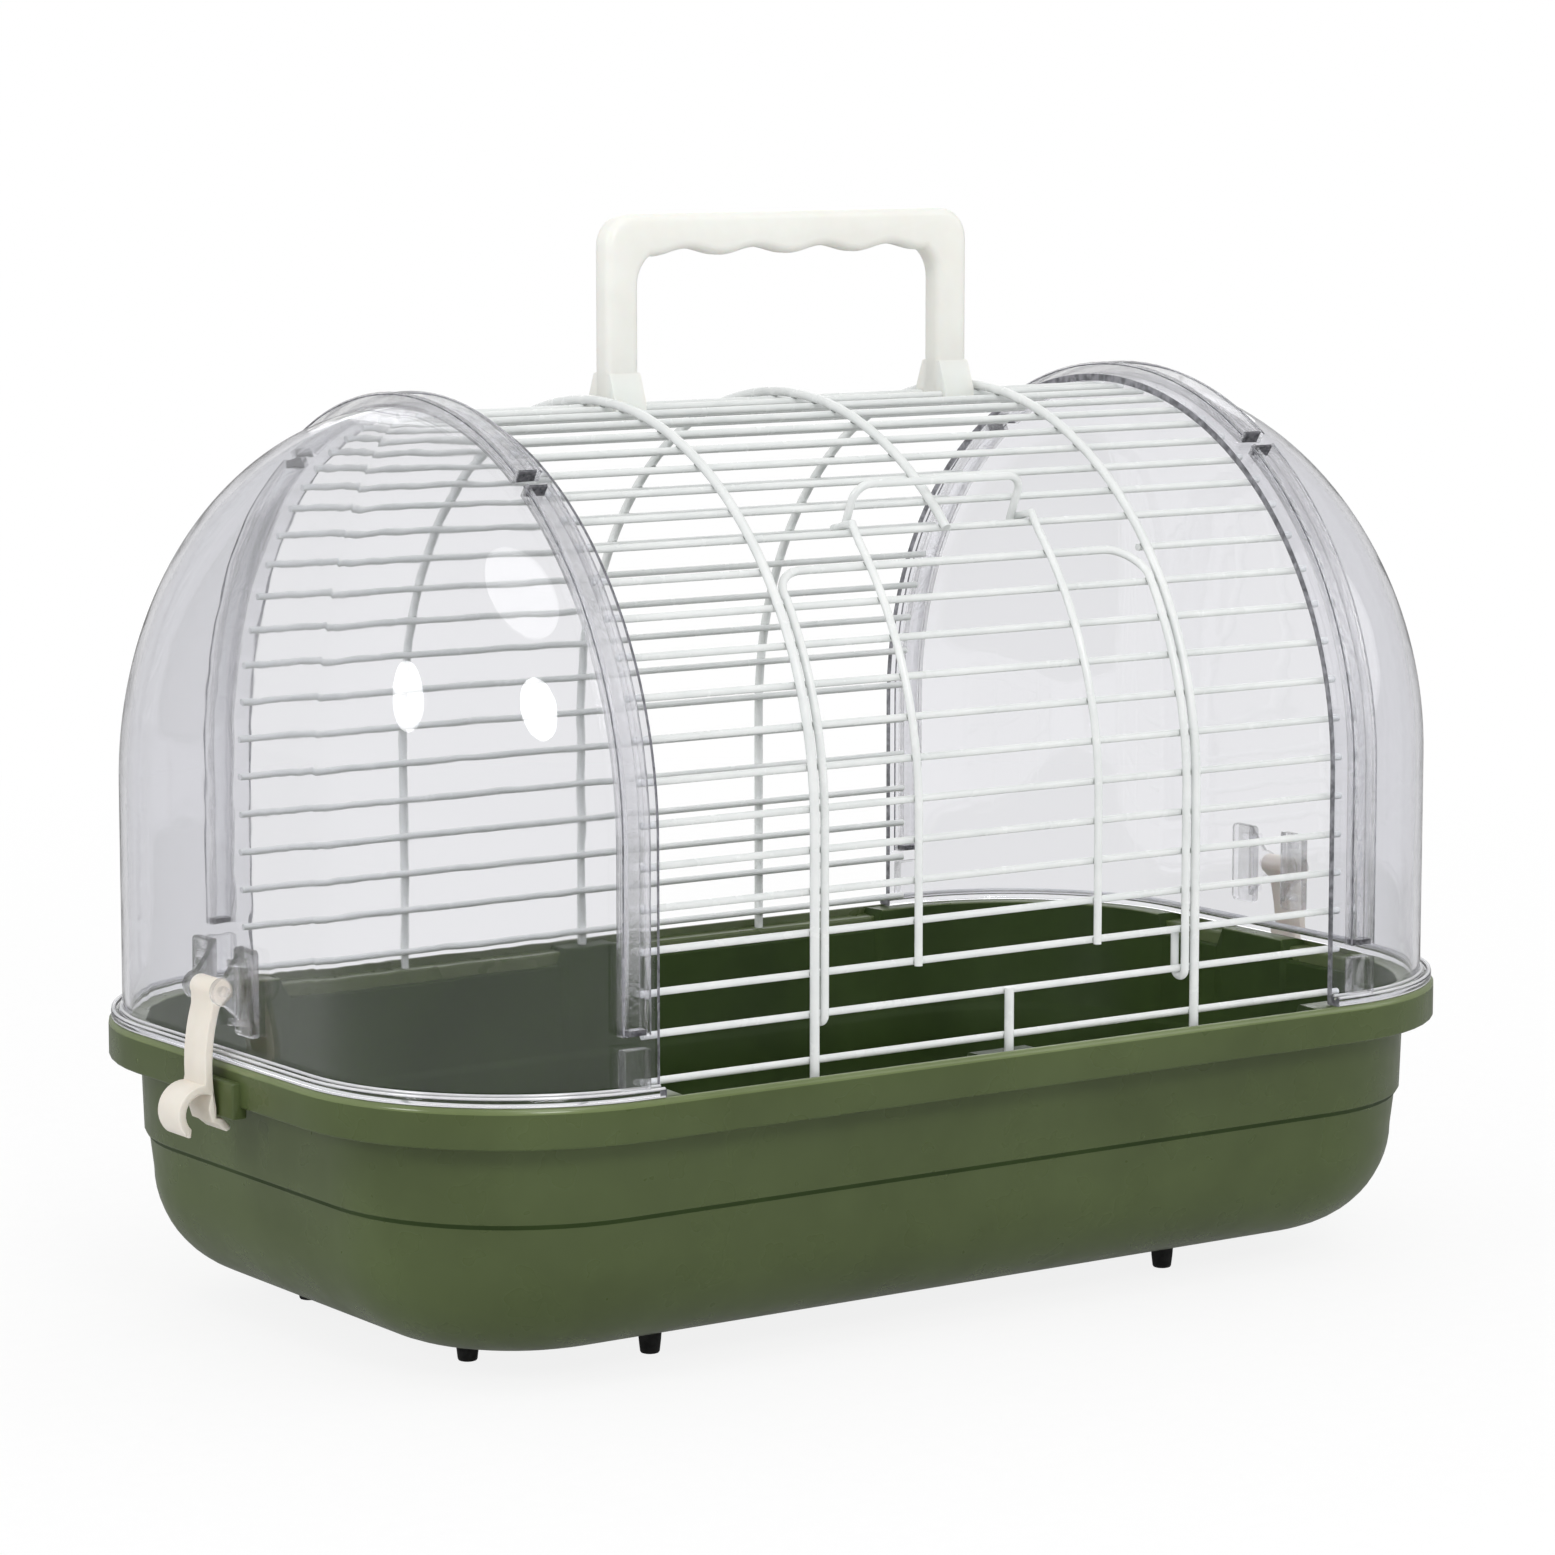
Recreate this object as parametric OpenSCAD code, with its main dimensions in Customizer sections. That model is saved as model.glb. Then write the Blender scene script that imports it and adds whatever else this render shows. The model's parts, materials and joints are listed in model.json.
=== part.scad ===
// Bird travel carrier: a moulded tray, a welded wire cage with a drop-down door,
// two clear domed ends with over-centre latches, and a carrying handle.
// Millimetres, +Z up, front (door) towards -Y, origin on the table under the centre.

/* [Tray] */
// Length over the rim
tray_l = 372; // [350:1:420]
// Width over the rim
tray_w = 224; // [212:1:260]
// Corner radius of the rim in plan
corner_r = 66; // [60:1:80]
// Height of the rim's top over the table
rim_top = 81; // [74:1:95]
// Height of the skirt round the rim
skirt_h = 11; // [9:0.5:13]
// Thickness of the skirt and of the rim plate
rim_t = 2.2; // [1.8:0.1:2.6]
// Thickness of the tray's walls and floor
tray_t = 2.4; // [1.8:0.1:3]
// Distance from the skirt's face to the wall below it
wall_inset = 8.6; // [8:0.1:9.5]
// Inward lean of each stretch of wall
draft = 1; // [0.4:0.1:1.5]
// Height of the step round the wall
step_z = 47; // [43:1:52]
// Width and height of the step
step_w = 1.5; // [0.8:0.1:2]
// Radius of the turn from wall to floor
bottom_r = 30; // [24:1:33]
// Depth of the recesses in the rim
recess_h = 6; // [5:0.5:7]
// Length of the recess along each long side
recess_l = 210; // [200:1:214]
// Length of the raised block in the middle of that recess
block_l = 18; // [12:1:24]
// How far the raised block stays below the rim
block_drop = 1; // [0.5:0.1:2]
// Distance of the end recesses from the middle
end_recess_from = 17; // [15:1:22]
// Length of each end recess
end_recess_l = 26; // [20:1:28]
// Width of the catch block under each latch
catch_w = 26; // [22:1:30]
// How far the catch block stands proud of the skirt
catch_out = 2.5; // [2:0.1:2.8]
// Height of the catch block
catch_h = 10; // [8:0.5:10]
// How far the catch block reaches below the skirt
catch_drop = 3; // [2:0.5:4]

/* [Feet] */
// Height of the feet
foot_h = 8; // [6:0.5:10]
// Diameter of a foot at the tray
foot_d = 6.8; // [5:0.1:8]
// Diameter of a foot at the table
foot_tip_d = 5.4; // [4:0.1:6]
// Half distance between the side feet along the length
side_foot_x = 89; // [80:1:100]
// Half distance between the side feet across the width
side_foot_y = 64; // [56:1:66]
// Half distance between the end feet along the length
end_foot_x = 134; // [125:1:140]
// Half distance between the end feet across the width
end_foot_y = 43; // [30:1:50]

/* [Wire cage] */
// Diameter of the three hoops
rib_d = 2.6; // [2.2:0.1:2.8]
// Diameter of the wires along the cage
wire_d = 2; // [1.6:0.1:2.2]
// Distance from the rim's face to a hoop's centre line
rib_inset = 5; // [4.6:0.1:5.2]
// Half distance between the outer hoops
rib_x = 64.7; // [60:0.1:68]
// Height where the hoops leave the vertical and turn over in a half circle
spring_z = 147; // [136:0.1:155]
// Pitch of the wires up the side
pitch = 11; // [10.5:0.1:11.5]
// Height of the lowest wire over the rim
first_wire = 3.3; // [3:0.1:5]
// Step from the lowest wire to the hinge wire
hinge_step = 12.4; // [11:0.1:14]
// Number of wires in the door opening, the door's top bar included
door_rows = 11; // [9:1:11]
// Number of wires from the header to the ridge on each side
roof_rows = 9; // [7:1:10]
// Half length of the wires
wire_half = 118.4; // [116:0.1:119]

/* [Door] */
// Diameter of the door's frame wire
frame_d = 2.3; // [2:0.1:2.5]
// Diameter of the door's two uprights
upright_d = 2.2; // [1.8:0.1:2.4]
// Half distance between the frame's legs
frame_x = 61.4; // [56:0.1:61.4]
// Half distance between the uprights
upright_x = 30.5; // [24:0.1:36]
// Radius of the frame's upper corners
frame_corner = 10; // [9:0.5:11]
// Reach of the hooks over the header wire
hook_reach = 9; // [7:0.5:10]
// Height of the pull bail
bail_h = 13; // [10:0.5:16]
// Corner radius of the pull bail
bail_corner = 5; // [4:0.5:6]
// Lean of the pull bail from the vertical
bail_lean = 24; // [18:1:30]
// How far a sharp bend stands proud of its wire
bend_bead = 0.05; // [0.03:0.01:0.1]

/* [Domes] */
// Thickness of the clear shells
dome_t = 2; // [1.6:0.1:2.2]
// Thickness of the flange on the rim
flange_t = 2.5; // [2:0.1:3]
// Distance from the rim's face to the flange
flange_inset = 0.8; // [0.5:0.1:1.2]
// Width of the strip over the wire ends
strip_w = 5.5; // [4.5:0.5:8]
// Thickness of the two ridges
ridge_t = 1.5; // [1.2:0.1:1.8]
// Height of the ridges
ridge_h = 3.5; // [2.5:0.1:4]
// Distance between the two ridges
ridge_gap = 5.2; // [4:0.1:6]
// Height where the ridges end over the rim
ridge_from = 17; // [14:1:20]
// Height of the short block under each ridge end
pad_h = 11; // [8:1:12]
// Depth of the near ridge in the strip
ridge_key = 0.3; // [0.2:0.1:0.6]
// How far the webs stay inside the ridges they join
web_inset = 0.3; // [0.2:0.1:0.5]
// Length of the break in the ridges
ridge_break = 5; // [4:0.5:7]
// Angle of the break from the ridge of the roof
break_angle = 34; // [30:1:40]

/* [Latches] */
// Width of a latch
latch_w = 12; // [10:0.5:14]
// Thickness of a latch's strap
strap_t = 2.4; // [2:0.1:2.8]
// Height of the latch's pin over the rim
pin_up = 20; // [18:0.5:22]
// Distance of the pin's axis from the dome's end wall
pin_out = 5.5; // [5:0.1:6]
// Diameter of the latch's pin
pin_d = 3; // [2.6:0.1:3.4]
// Radius of the knuckle round the pin
knuckle_r = 3.2; // [3:0.1:3.6]
// Radius of the strap's curve
strap_r = 57; // [54:1:60]
// Reach of the hook under the catch block
catch_reach = 3.4; // [2.5:0.1:4]
// Depth of the hook below the catch block
hook_drop = 4; // [3:0.1:5]
// Radius of the finger tab's curl
tab_r = 6.5; // [5.5:0.1:7.5]
// Angle below the level at which the tab's curl starts
tab_from = 50; // [40:1:60]
// Thickness of the ears
ear_t = 2.5; // [2:0.1:3]
// Height of the ears
ear_h = 24; // [20:1:26]
// Width of the foot beside each ear
wing_w = 8; // [6:0.5:10]

/* [Handle] */
// Length of the handle over all
handle_l = 126; // [116:1:126]
// Height of the handle over the hoops
handle_h = 50; // [44:1:56]
// Depth of the grip
handle_w = 10; // [8:0.5:13]
// Width of the handle's legs
leg_w = 13; // [11:0.5:16]
// Least height of the grip
grip_h = 10; // [8:0.5:12]
// Depth of the finger bumps
bump_h = 2; // [1:0.1:3]
// Number of finger hollows
hollows = 4; // [3:1:4]
// Outer corner radius of the handle
handle_corner = 9; // [7:0.5:11]
// Corner radius of the handle's opening
grip_corner = 10; // [8:0.5:12]
// Width of the feet that clip on the ridge wires
clip_w = 18; // [16:0.5:20]
// Depth of those feet below the ridge wires
clip_lip = 0.6; // [0.4:0.1:1]
// Width of the mouths through which the wires snap in
clip_mouth = 1.6; // [1.4:0.1:1.8]
// Height of the feet's flare over the hoops
flare_h = 6; // [4:0.5:8]

/* [Clearances] */
// Gap between wires that are welded where they cross
weld_gap = 0.05; // [0.02:0.01:0.1]
// Gap between the wire ends and the strip over them
strip_gap = 0.35; // [0.2:0.05:0.5]
// Radial gap of the door's loops round the hinge wire
loop_gap = 0.1; // [0.05:0.01:0.1]
// Radial gap of the hooks over the header wire
hook_gap = 0.25; // [0.15:0.05:0.5]
// Radial gap of a latch on its pin
pin_gap = 0.08; // [0.04:0.01:0.1]
// Gap of a pin in its ears
ear_gap = 0.02; // [0.01:0.01:0.04]
// Gap between a latch and its ears or catch
latch_gap = 0.3; // [0.2:0.05:0.4]
// Gap of the handle's clips round the ridge wires
clip_gap = 0.05; // [0.03:0.01:0.1]

/* [Hidden] */
$fn = 48;

half_l = tray_l / 2;
half_w = tray_w / 2;
corner_x = half_l - corner_r;
corner_y = half_w - corner_r;
deg = 180 / PI;
eps = 0.01;
// How far a cutting shape reaches past what it cuts
over = 1;

// The arch of the wires along the cage: a wall, and a half circle over it.
rib_layer = (wire_d + rib_d) / 2 + weld_gap;
frame_layer = wire_d / 2 + loop_gap + frame_d / 2;
upright_layer = (wire_d + upright_d) / 2 + weld_gap;
arch_half = half_w - rib_inset - rib_layer;
arch_len = spring_z + arch_half * PI / 2;

// Where the wires lie, as lengths along the arch from the table.
wire_z1 = rim_top + first_wire;
wire_z2 = wire_z1 + hinge_step;
door_s = [for (i = [1:door_rows]) wire_z2 + i * pitch];
header_s = wire_z2 + (door_rows + 1) * pitch;
roof_pitch = (arch_len - header_s) / (roof_rows - 0.5);
roof_s = [for (i = [1:roof_rows - 1]) header_s + i * roof_pitch];
hinge_y = -arch_half;

// The clear domes follow the same arch, just outside the wires.
dome_in_off = wire_d / 2 + strip_gap;
dome_off = dome_in_off + dome_t;
dome_inset = half_w - arch_half - dome_off;
dome_x = half_l - dome_inset;
flange_top = rim_top + flange_t;
far_x = -corner_x - ridge_t * 1.5 - ridge_gap;

// The latches.
pin_x = dome_x + pin_out;
pin_z = rim_top + pin_up;
catch_x = half_l + catch_out;
catch_low = rim_top - skirt_h - catch_drop;

// Point [y, z] of the arch at the length s along it and the distance off outside it.
function arch_pt(s, off) =
    s <= spring_z ? [-(arch_half + off), s]
    : let (t = arch_turn(s)) [-(arch_half + off) * cos(t), spring_z + (arch_half + off) * sin(t)];

// Angle of the arch at the length s, from the vertical of the wall.
function arch_turn(s) = max(0, (s - spring_z) / arch_half * deg);

module at_both() { children(); mirror([0, 1, 0]) children(); }
module at_right() { mirror([1, 0, 0]) children(); }

// A wire along X from x0 to x1.
module along_x(y, z, x0, x1, d) {
    translate([x0, y, z]) rotate([0, 90, 0]) cylinder(d = d, h = x1 - x0);
}

// A straight wire in a plane across the cage, from [y, z] to [y, z].
module across(p, q, d) {
    run = q - p;
    translate([0, p[0], p[1]]) rotate([-atan2(run[0], run[1]), 0, 0])
        cylinder(d = d, h = norm(run));
}

// The sharp bend between two wires at [y, z].
module bend(p, d) {
    translate([0, p[0], p[1]]) sphere(d = d + 2 * bend_bead);
}

// Turns a profile about an axis along X: profile X is the radius and profile Y lies along X.
module turn(c, from, to) {
    translate([0, c[0], c[1]]) rotate([90, 0, 90]) rotate([0, 0, from])
        rotate_extrude(angle = to - from) children();
}

// An arc of round wire about the centre [y, z].
module wire_arc(c, r, from, to, d) {
    turn(c, from, to) translate([r, 0]) circle(d = d);
}

// An arc of round wire up over the cage from the front, at the distance off outside the arch.
module hoop_arc(off, to, d) {
    mirror([0, 1, 0]) wire_arc([0, spring_z], arch_half + off, 0, to, d);
}

// The upright stretch of a hoop or door wire on the front, from a foot up to the half circle.
module hoop_leg(off, foot_z, d) {
    translate([0, -(arch_half + off), foot_z]) cylinder(d = d, h = spring_z - foot_z);
}

// Outline of the tray's wall, from the corner's axis outwards.
module wall_profile() {
    r = corner_r;
    w = r - wall_inset;
    knee = w - draft - step_w;
    low = knee - draft;
    arc_z = foot_h + bottom_r;
    polygon([[low, arc_z], [knee, step_z], [knee + step_w, step_z + step_w],
             [w, rim_top], [w - tray_t, rim_top], [knee + step_w - tray_t, step_z + step_w],
             [knee - tray_t, step_z], [low - tray_t, arc_z]]);
    translate([w - tray_t, rim_top - rim_t]) square([r - w + tray_t, rim_t]);
    translate([r - rim_t, rim_top - skirt_h]) square([rim_t, skirt_h]);
    translate([0, foot_h]) square([low - bottom_r, tray_t]);
    intersection() {
        translate([low - bottom_r, arc_z]) difference() {
            circle(r = bottom_r, $fn = 96);
            circle(r = bottom_r - tray_t, $fn = 96);
        }
        translate([low - bottom_r, foot_h]) square(bottom_r);
    }
}

// One long side or end wall: the profile drawn out along the side.
module side_wall(run, out) {
    rotate([90, 0, 90]) translate([0, 0, -run]) linear_extrude(2 * run)
        translate([out, 0]) wall_profile();
}

// A thicker stretch of rim, in which a recess is cut
module rim_filler(run) {
    translate([-run - rim_t, half_w - wall_inset - tray_t, rim_top - recess_h - rim_t])
        cube([2 * (run + rim_t), wall_inset + tray_t - rim_t - eps, recess_h + rim_t]);
}

// A recess with sloping ends, open towards the inside of the tray
module recess(x0, x1, depth, out) {
    slope = depth / 2;
    translate([0, out - rim_t, rim_top]) rotate([90, 0, 0])
        linear_extrude(wall_inset + tray_t + over)
            polygon([[x0, -depth], [x1, -depth], [x1 + slope, 0], [x1 + slope, over],
                     [x0 - slope, over], [x0 - slope, 0]]);
}

module tray() {
    run = recess_l / 2;
    color("#5d7047") difference() {
        union() {
            at_both() side_wall(corner_x, corner_y);
            for (s = [0, 1]) mirror([s, 0, 0]) {
                rotate([0, 0, 90]) side_wall(corner_y, corner_x);
                at_both() translate([-corner_x, corner_y, 0]) rotate([0, 0, 90])
                    rotate_extrude(angle = 90) wall_profile();
                rotate([0, 0, 90]) translate([0, half_l - half_w, 0])
                    rim_filler(end_recess_from + end_recess_l + recess_h / 2);
                translate([-catch_x, -catch_w / 2, catch_low])
                    cube([catch_out + rim_t, catch_w, catch_h]);
            }
            at_both() rim_filler(run + recess_h / 2);
            translate([-corner_x, -corner_y, foot_h]) cube([2 * corner_x, 2 * corner_y, tray_t]);
        }
        at_both() {
            for (s = [0, 1]) mirror([s, 0, 0])
                recess(block_l / 2 + recess_h / 2, run, recess_h, half_w);
            recess(-block_l / 2 - recess_h / 2, block_l / 2 + recess_h / 2, block_drop, half_w);
        }
        for (s = [0, 1]) mirror([s, 0, 0]) rotate([0, 0, 90])
            for (t = [0, 1]) mirror([t, 0, 0])
                recess(end_recess_from, end_recess_from + end_recess_l, recess_h, half_l);
    }
}

module feet() {
    color("#161616") for (sx = [-1, 1], sy = [-1, 1]) {
        translate([sx * side_foot_x, sy * side_foot_y, 0])
            cylinder(d1 = foot_tip_d, d2 = foot_d, h = foot_h);
        translate([sx * end_foot_x, sy * end_foot_y, 0])
            cylinder(d1 = foot_tip_d, d2 = foot_d, h = foot_h);
    }
}

// Plan outline of a dome at the inset d: front corner, end and rear corner.
corner_steps = 10;
function outline(d) =
    let (r = corner_r - d, n = corner_steps)
    [for (i = [0:n]) [r * sin(90 * i / n), -(corner_y + r * cos(90 * i / n))],
     for (i = [n:-1:0]) [r * sin(90 * i / n), corner_y + r * cos(90 * i / n)]];

// Levels of a dome: [share of the outline, height], from the flange to just under the ridge.
wall_steps = 3;
arch_steps = 14;
function levels(off) =
    let (half = arch_half + off)
    [for (i = [0:wall_steps]) [1, flange_top + (spring_z - flange_top) * i / wall_steps],
     for (i = [1:arch_steps - 1])
         let (p = arch_pt(spring_z + (arch_len - spring_z) * i / arch_steps, off))
         [-p[0] / half, p[1]]];

module dome_shell() {
    outer = outline(dome_inset);
    inner = outline(dome_inset + dome_t);
    out_levels = levels(dome_off);
    in_levels = levels(dome_in_off);
    n = len(outer);
    m = len(out_levels);
    points = [for (v = out_levels, p = outer) [-corner_x - v[0] * p[0], v[0] * p[1], v[1]],
              for (v = in_levels, p = inner) [-corner_x - v[0] * p[0], v[0] * p[1], v[1]],
              [-corner_x, 0, spring_z + arch_half + dome_off],
              [-corner_x, 0, spring_z + arch_half + dome_in_off]];
    in0 = n * m;
    tip_out = 2 * n * m;
    tip_in = tip_out + 1;
    faces = [for (k = [0:m - 2], j = [0:n - 2])
                 each [[k * n + j, (k + 1) * n + j, (k + 1) * n + j + 1],
                       [k * n + j, (k + 1) * n + j + 1, k * n + j + 1],
                       [in0 + k * n + j, in0 + (k + 1) * n + j + 1, in0 + (k + 1) * n + j],
                       [in0 + k * n + j, in0 + k * n + j + 1, in0 + (k + 1) * n + j + 1]],
             for (j = [0:n - 2])
                 each [[(m - 1) * n + j, tip_out, (m - 1) * n + j + 1],
                       [in0 + (m - 1) * n + j, in0 + (m - 1) * n + j + 1, tip_in],
                       [j, j + 1, in0 + j + 1], [j, in0 + j + 1, in0 + j]],
             for (k = [0:m - 2])
                 each [[k * n, in0 + k * n, in0 + (k + 1) * n], [k * n, in0 + (k + 1) * n, (k + 1) * n],
                       [k * n + n - 1, (k + 1) * n + n - 1, in0 + (k + 1) * n + n - 1],
                       [k * n + n - 1, in0 + (k + 1) * n + n - 1, in0 + k * n + n - 1]],
             [(m - 1) * n, in0 + (m - 1) * n, tip_in], [(m - 1) * n, tip_in, tip_out],
             [m * n - 1, tip_out, tip_in], [m * n - 1, tip_in, in0 + m * n - 1]];
    polyhedron(points, faces, convexity = 6);
}

// Draws a profile up the back and over the arch: profile X is the offset outside the arch and
// profile Y lies along X. It starts at a height and ends at a turn of the arch.
module up_and_over(from, to_turn) {
    translate([0, 0, from]) mirror([1, 0, 0]) rotate([0, 0, 90]) linear_extrude(spring_z - from)
        translate([arch_half, 0]) children();
    turn([0, spring_z], 0, to_turn) translate([arch_half, 0]) children();
}

// The ridge beside the strip is let into it, and the far one stands on the dome alone.
module near_ridge() {
    half = ridge_t / 2;
    translate([0, -corner_x]) polygon([[dome_off, -half], [dome_off, 0], [dome_off - ridge_key, 0],
        [dome_off - ridge_key, half], [dome_off + ridge_h, half], [dome_off + ridge_h, -half]]);
}
module far_ridge() {
    translate([dome_off, far_x]) square([ridge_h, ridge_t]);
}

// The web across each end of the two ridges
module web() {
    translate([dome_off + web_inset, far_x + ridge_t / 2]) square([ridge_h - 2 * web_inset, ridge_gap + ridge_t]);
}

module dome_edge() {
    edge_x = -corner_x;
    gap = ridge_break / 2 / arch_half * deg;
    low_end = 90 - break_angle - gap;
    high_end = 90 - break_angle + gap;
    web_turn = ridge_t / arch_half * deg;
    web_in = web_inset / arch_half * deg;
    flange_in = dome_inset + dome_t;
    // The flange, with its two corners and its end
    at_both() translate([edge_x, corner_y, rim_top]) rotate([0, 0, 90]) rotate_extrude(angle = 90)
        translate([corner_r - flange_in, 0]) square([flange_in - flange_inset, flange_t]);
    translate([-half_l + flange_inset, -corner_y, rim_top])
        cube([flange_in - flange_inset, 2 * corner_y, flange_t]);
    at_both() {
        translate([edge_x, half_w - flange_in, rim_top])
            cube([strip_w, flange_in - flange_inset, flange_t]);
        // The strip over the wire ends, up one side
        translate([edge_x, arch_half + dome_in_off, flange_top])
            cube([strip_w, dome_t, spring_z - flange_top]);
        // The two ridges up to the break, with a web across each end
        up_and_over(rim_top + ridge_from, low_end) near_ridge();
        up_and_over(rim_top + ridge_from, low_end) far_ridge();
        translate([0, 0, rim_top + ridge_from + web_inset]) mirror([1, 0, 0]) rotate([0, 0, 90])
            linear_extrude(ridge_t) translate([arch_half, 0]) web();
        turn([0, spring_z], low_end - web_turn - web_in, low_end - web_in)
            translate([arch_half, 0]) web();
        turn([0, spring_z], high_end + web_in, high_end + web_in + web_turn)
            translate([arch_half, 0]) web();
        // The short block below the ridges
        translate([far_x, arch_half + dome_off, flange_top])
            cube([ridge_gap + 2 * ridge_t, ridge_h, pad_h]);
    }
    // The strip and the ridges over the top
    turn([0, spring_z], 0, 180) translate([arch_half + dome_in_off, edge_x]) square([dome_t, strip_w]);
    turn([0, spring_z], high_end, 180 - high_end) translate([arch_half, 0]) near_ridge();
    turn([0, spring_z], high_end, 180 - high_end) translate([arch_half, 0]) far_ridge();
}

module latch_ears() {
    inner = latch_w / 2 + latch_gap;
    nose = pin_d / 2 + ear_t;
    z0 = pin_z - ear_h / 2;
    at_both() difference() {
        union() {
            translate([0, inner, 0]) rotate([90, 0, 0]) mirror([0, 0, 1]) linear_extrude(ear_t) union() {
                translate([-pin_x, pin_z]) circle(r = nose);
                polygon([[-dome_x, z0 + ear_t], [-pin_x, pin_z - nose], [-pin_x, pin_z + nose],
                         [-dome_x, z0 + ear_h]]);
            }
            translate([-dome_x - dome_t, inner, z0]) cube([dome_t, wing_w + ear_t, ear_h]);
        }
        translate([-pin_x, 0, pin_z]) rotate([-90, 0, 0])
            cylinder(d = pin_d + 2 * ear_gap, h = inner + ear_t + over);
    }
}

module latch_pin() {
    half = latch_w / 2 + latch_gap + ear_t;
    translate([-pin_x, -half, pin_z]) rotate([-90, 0, 0]) cylinder(d = pin_d, h = 2 * half);
}

// Outline of a latch in the plane of its swing: [outwards, up].
strap_z = rim_top - 1;
strap_c = [pin_x - sqrt(pow(strap_r, 2) - pow(pin_z - strap_z, 2)), strap_z];
function strap_at(z, r) = strap_c[0] + sqrt(pow(r, 2) - pow(z - strap_z, 2));
function strap_turn(z) = asin((z - strap_z) / strap_r);

// The hook in under the catch, and the finger tab that curls out and down from the strap.
module latch_outline() {
    half = strap_t / 2;
    low = catch_low - latch_gap;
    mid = strap_at(low, strap_r);
    tip = catch_x - catch_reach;
    tab_c = [mid + tab_r / 2, catch_low + half];
    translate([pin_x, pin_z]) circle(r = knuckle_r);
    // The upper side of the hook runs below the catch, and turns up inside the strap
    polygon([[mid - half / 2, low + strap_t], [mid + half / 2, low + strap_t],
             [mid + half / 2, low - half], [tip + half, low - hook_drop],
             [tip, low - hook_drop + half], [catch_x - half, low - half / 4],
             [mid - half / 2, low - half / 8]]);
    translate(tab_c) difference() {
        circle(r = tab_r + half);
        circle(r = tab_r - half);
        translate([-3 * tab_r, -2 * tab_r]) square([3 * tab_r - half, 4 * tab_r]);
        rotate(-tab_from) translate([-2 * tab_r, -2 * tab_r]) square([4 * tab_r, 2 * tab_r]);
    }
}

module latch() {
    from = strap_turn(catch_low - latch_gap);
    to = strap_turn(pin_z);
    color("#ede5da") mirror([1, 0, 0]) difference() {
        union() {
            translate([0, latch_w / 2, 0]) rotate([90, 0, 0]) linear_extrude(latch_w) latch_outline();
            // The strap bows outwards between the pin and the catch
            translate([strap_c[0], 0, strap_c[1]]) rotate([90, 0, 0]) rotate([0, 0, from])
                rotate_extrude(angle = to - from)
                    translate([strap_r - strap_t / 2, -latch_w / 2]) square([strap_t, latch_w]);
        }
        translate([pin_x, 0, pin_z]) rotate([-90, 0, 0])
            cylinder(d = pin_d + 2 * pin_gap, h = latch_w + 2 * over, center = true);
    }
}

module rib(x) {
    color("white") translate([x, 0, 0]) {
        hoop_arc(rib_layer, 180, rib_d);
        at_both() hoop_leg(rib_layer, rim_top - recess_h, rib_d);
    }
}

module rib_middle() {
    color("white") {
        mirror([0, 1, 0]) {
            hoop_arc(rib_layer, 180 - arch_turn(header_s - wire_d), rib_d);
            hoop_leg(rib_layer, rim_top - block_drop, rib_d);
        }
    }
}

module sill_stub() {
    foot_z = rim_top - block_drop;
    color("white") translate([0, -(arch_half + rib_layer), foot_z])
        cylinder(d = rib_d, h = wire_z2 + wire_d / 2 - foot_z);
}

module wires(list, x0, x1) {
    color("white") for (s = list) along_x(arch_pt(s, 0)[0], arch_pt(s, 0)[1], x0, x1, wire_d);
}

module rear_wires() {
    list = concat([wire_z1, wire_z2], door_s);
    mirror([0, 1, 0]) wires(list, -wire_half, wire_half);
}

module roof_wires() {
    wires(roof_s, -wire_half, wire_half);
    mirror([0, 1, 0]) wires(concat([header_s], roof_s), -wire_half, wire_half);
}

// The door's frame: two legs with loops round the hinge wire, two corners and a top bar.
top_bar_s = door_s[door_rows - 1];
top_bar = arch_pt(top_bar_s, -(frame_d - wire_d) / 2);
// Length at which a leg ends, a corner radius short of the top bar
leg_end_s = top_bar_s - sqrt(pow(frame_corner, 2) - pow(frame_layer + (frame_d - wire_d) / 2, 2));
leg_end = arch_pt(leg_end_s, frame_layer);
corner_run = top_bar - leg_end;
module frame_leg() {
    return_top = door_s[0];
    hoop_leg(frame_layer, wire_z2, frame_d);
    hoop_arc(frame_layer, arch_turn(leg_end_s), frame_d);
    wire_arc([hinge_y, wire_z2], frame_layer, 180, 360, frame_d);
    translate([0, hinge_y + frame_layer, wire_z2]) cylinder(d = frame_d, h = return_top - wire_z2);
    bend(leg_end, frame_d);
}

// A leg, and the corner with half the top bar, which meets its mirror image in the middle
module door_frame() {
    lean = atan2(corner_run[0], corner_run[1]);
    r = norm(corner_run);
    color("white") {
        for (s = [0, 1]) mirror([s, 0, 0]) {
            translate([-frame_x, 0, 0]) frame_leg();
            translate([-frame_x + r, leg_end[0], leg_end[1]]) rotate([90 - lean, 0, 0]) {
                rotate([0, 0, 90]) rotate_extrude(angle = 90) translate([r, 0]) circle(d = frame_d);
                along_x(r, 0, 0, frame_x - r, frame_d);
            }
        }
    }
}

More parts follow.
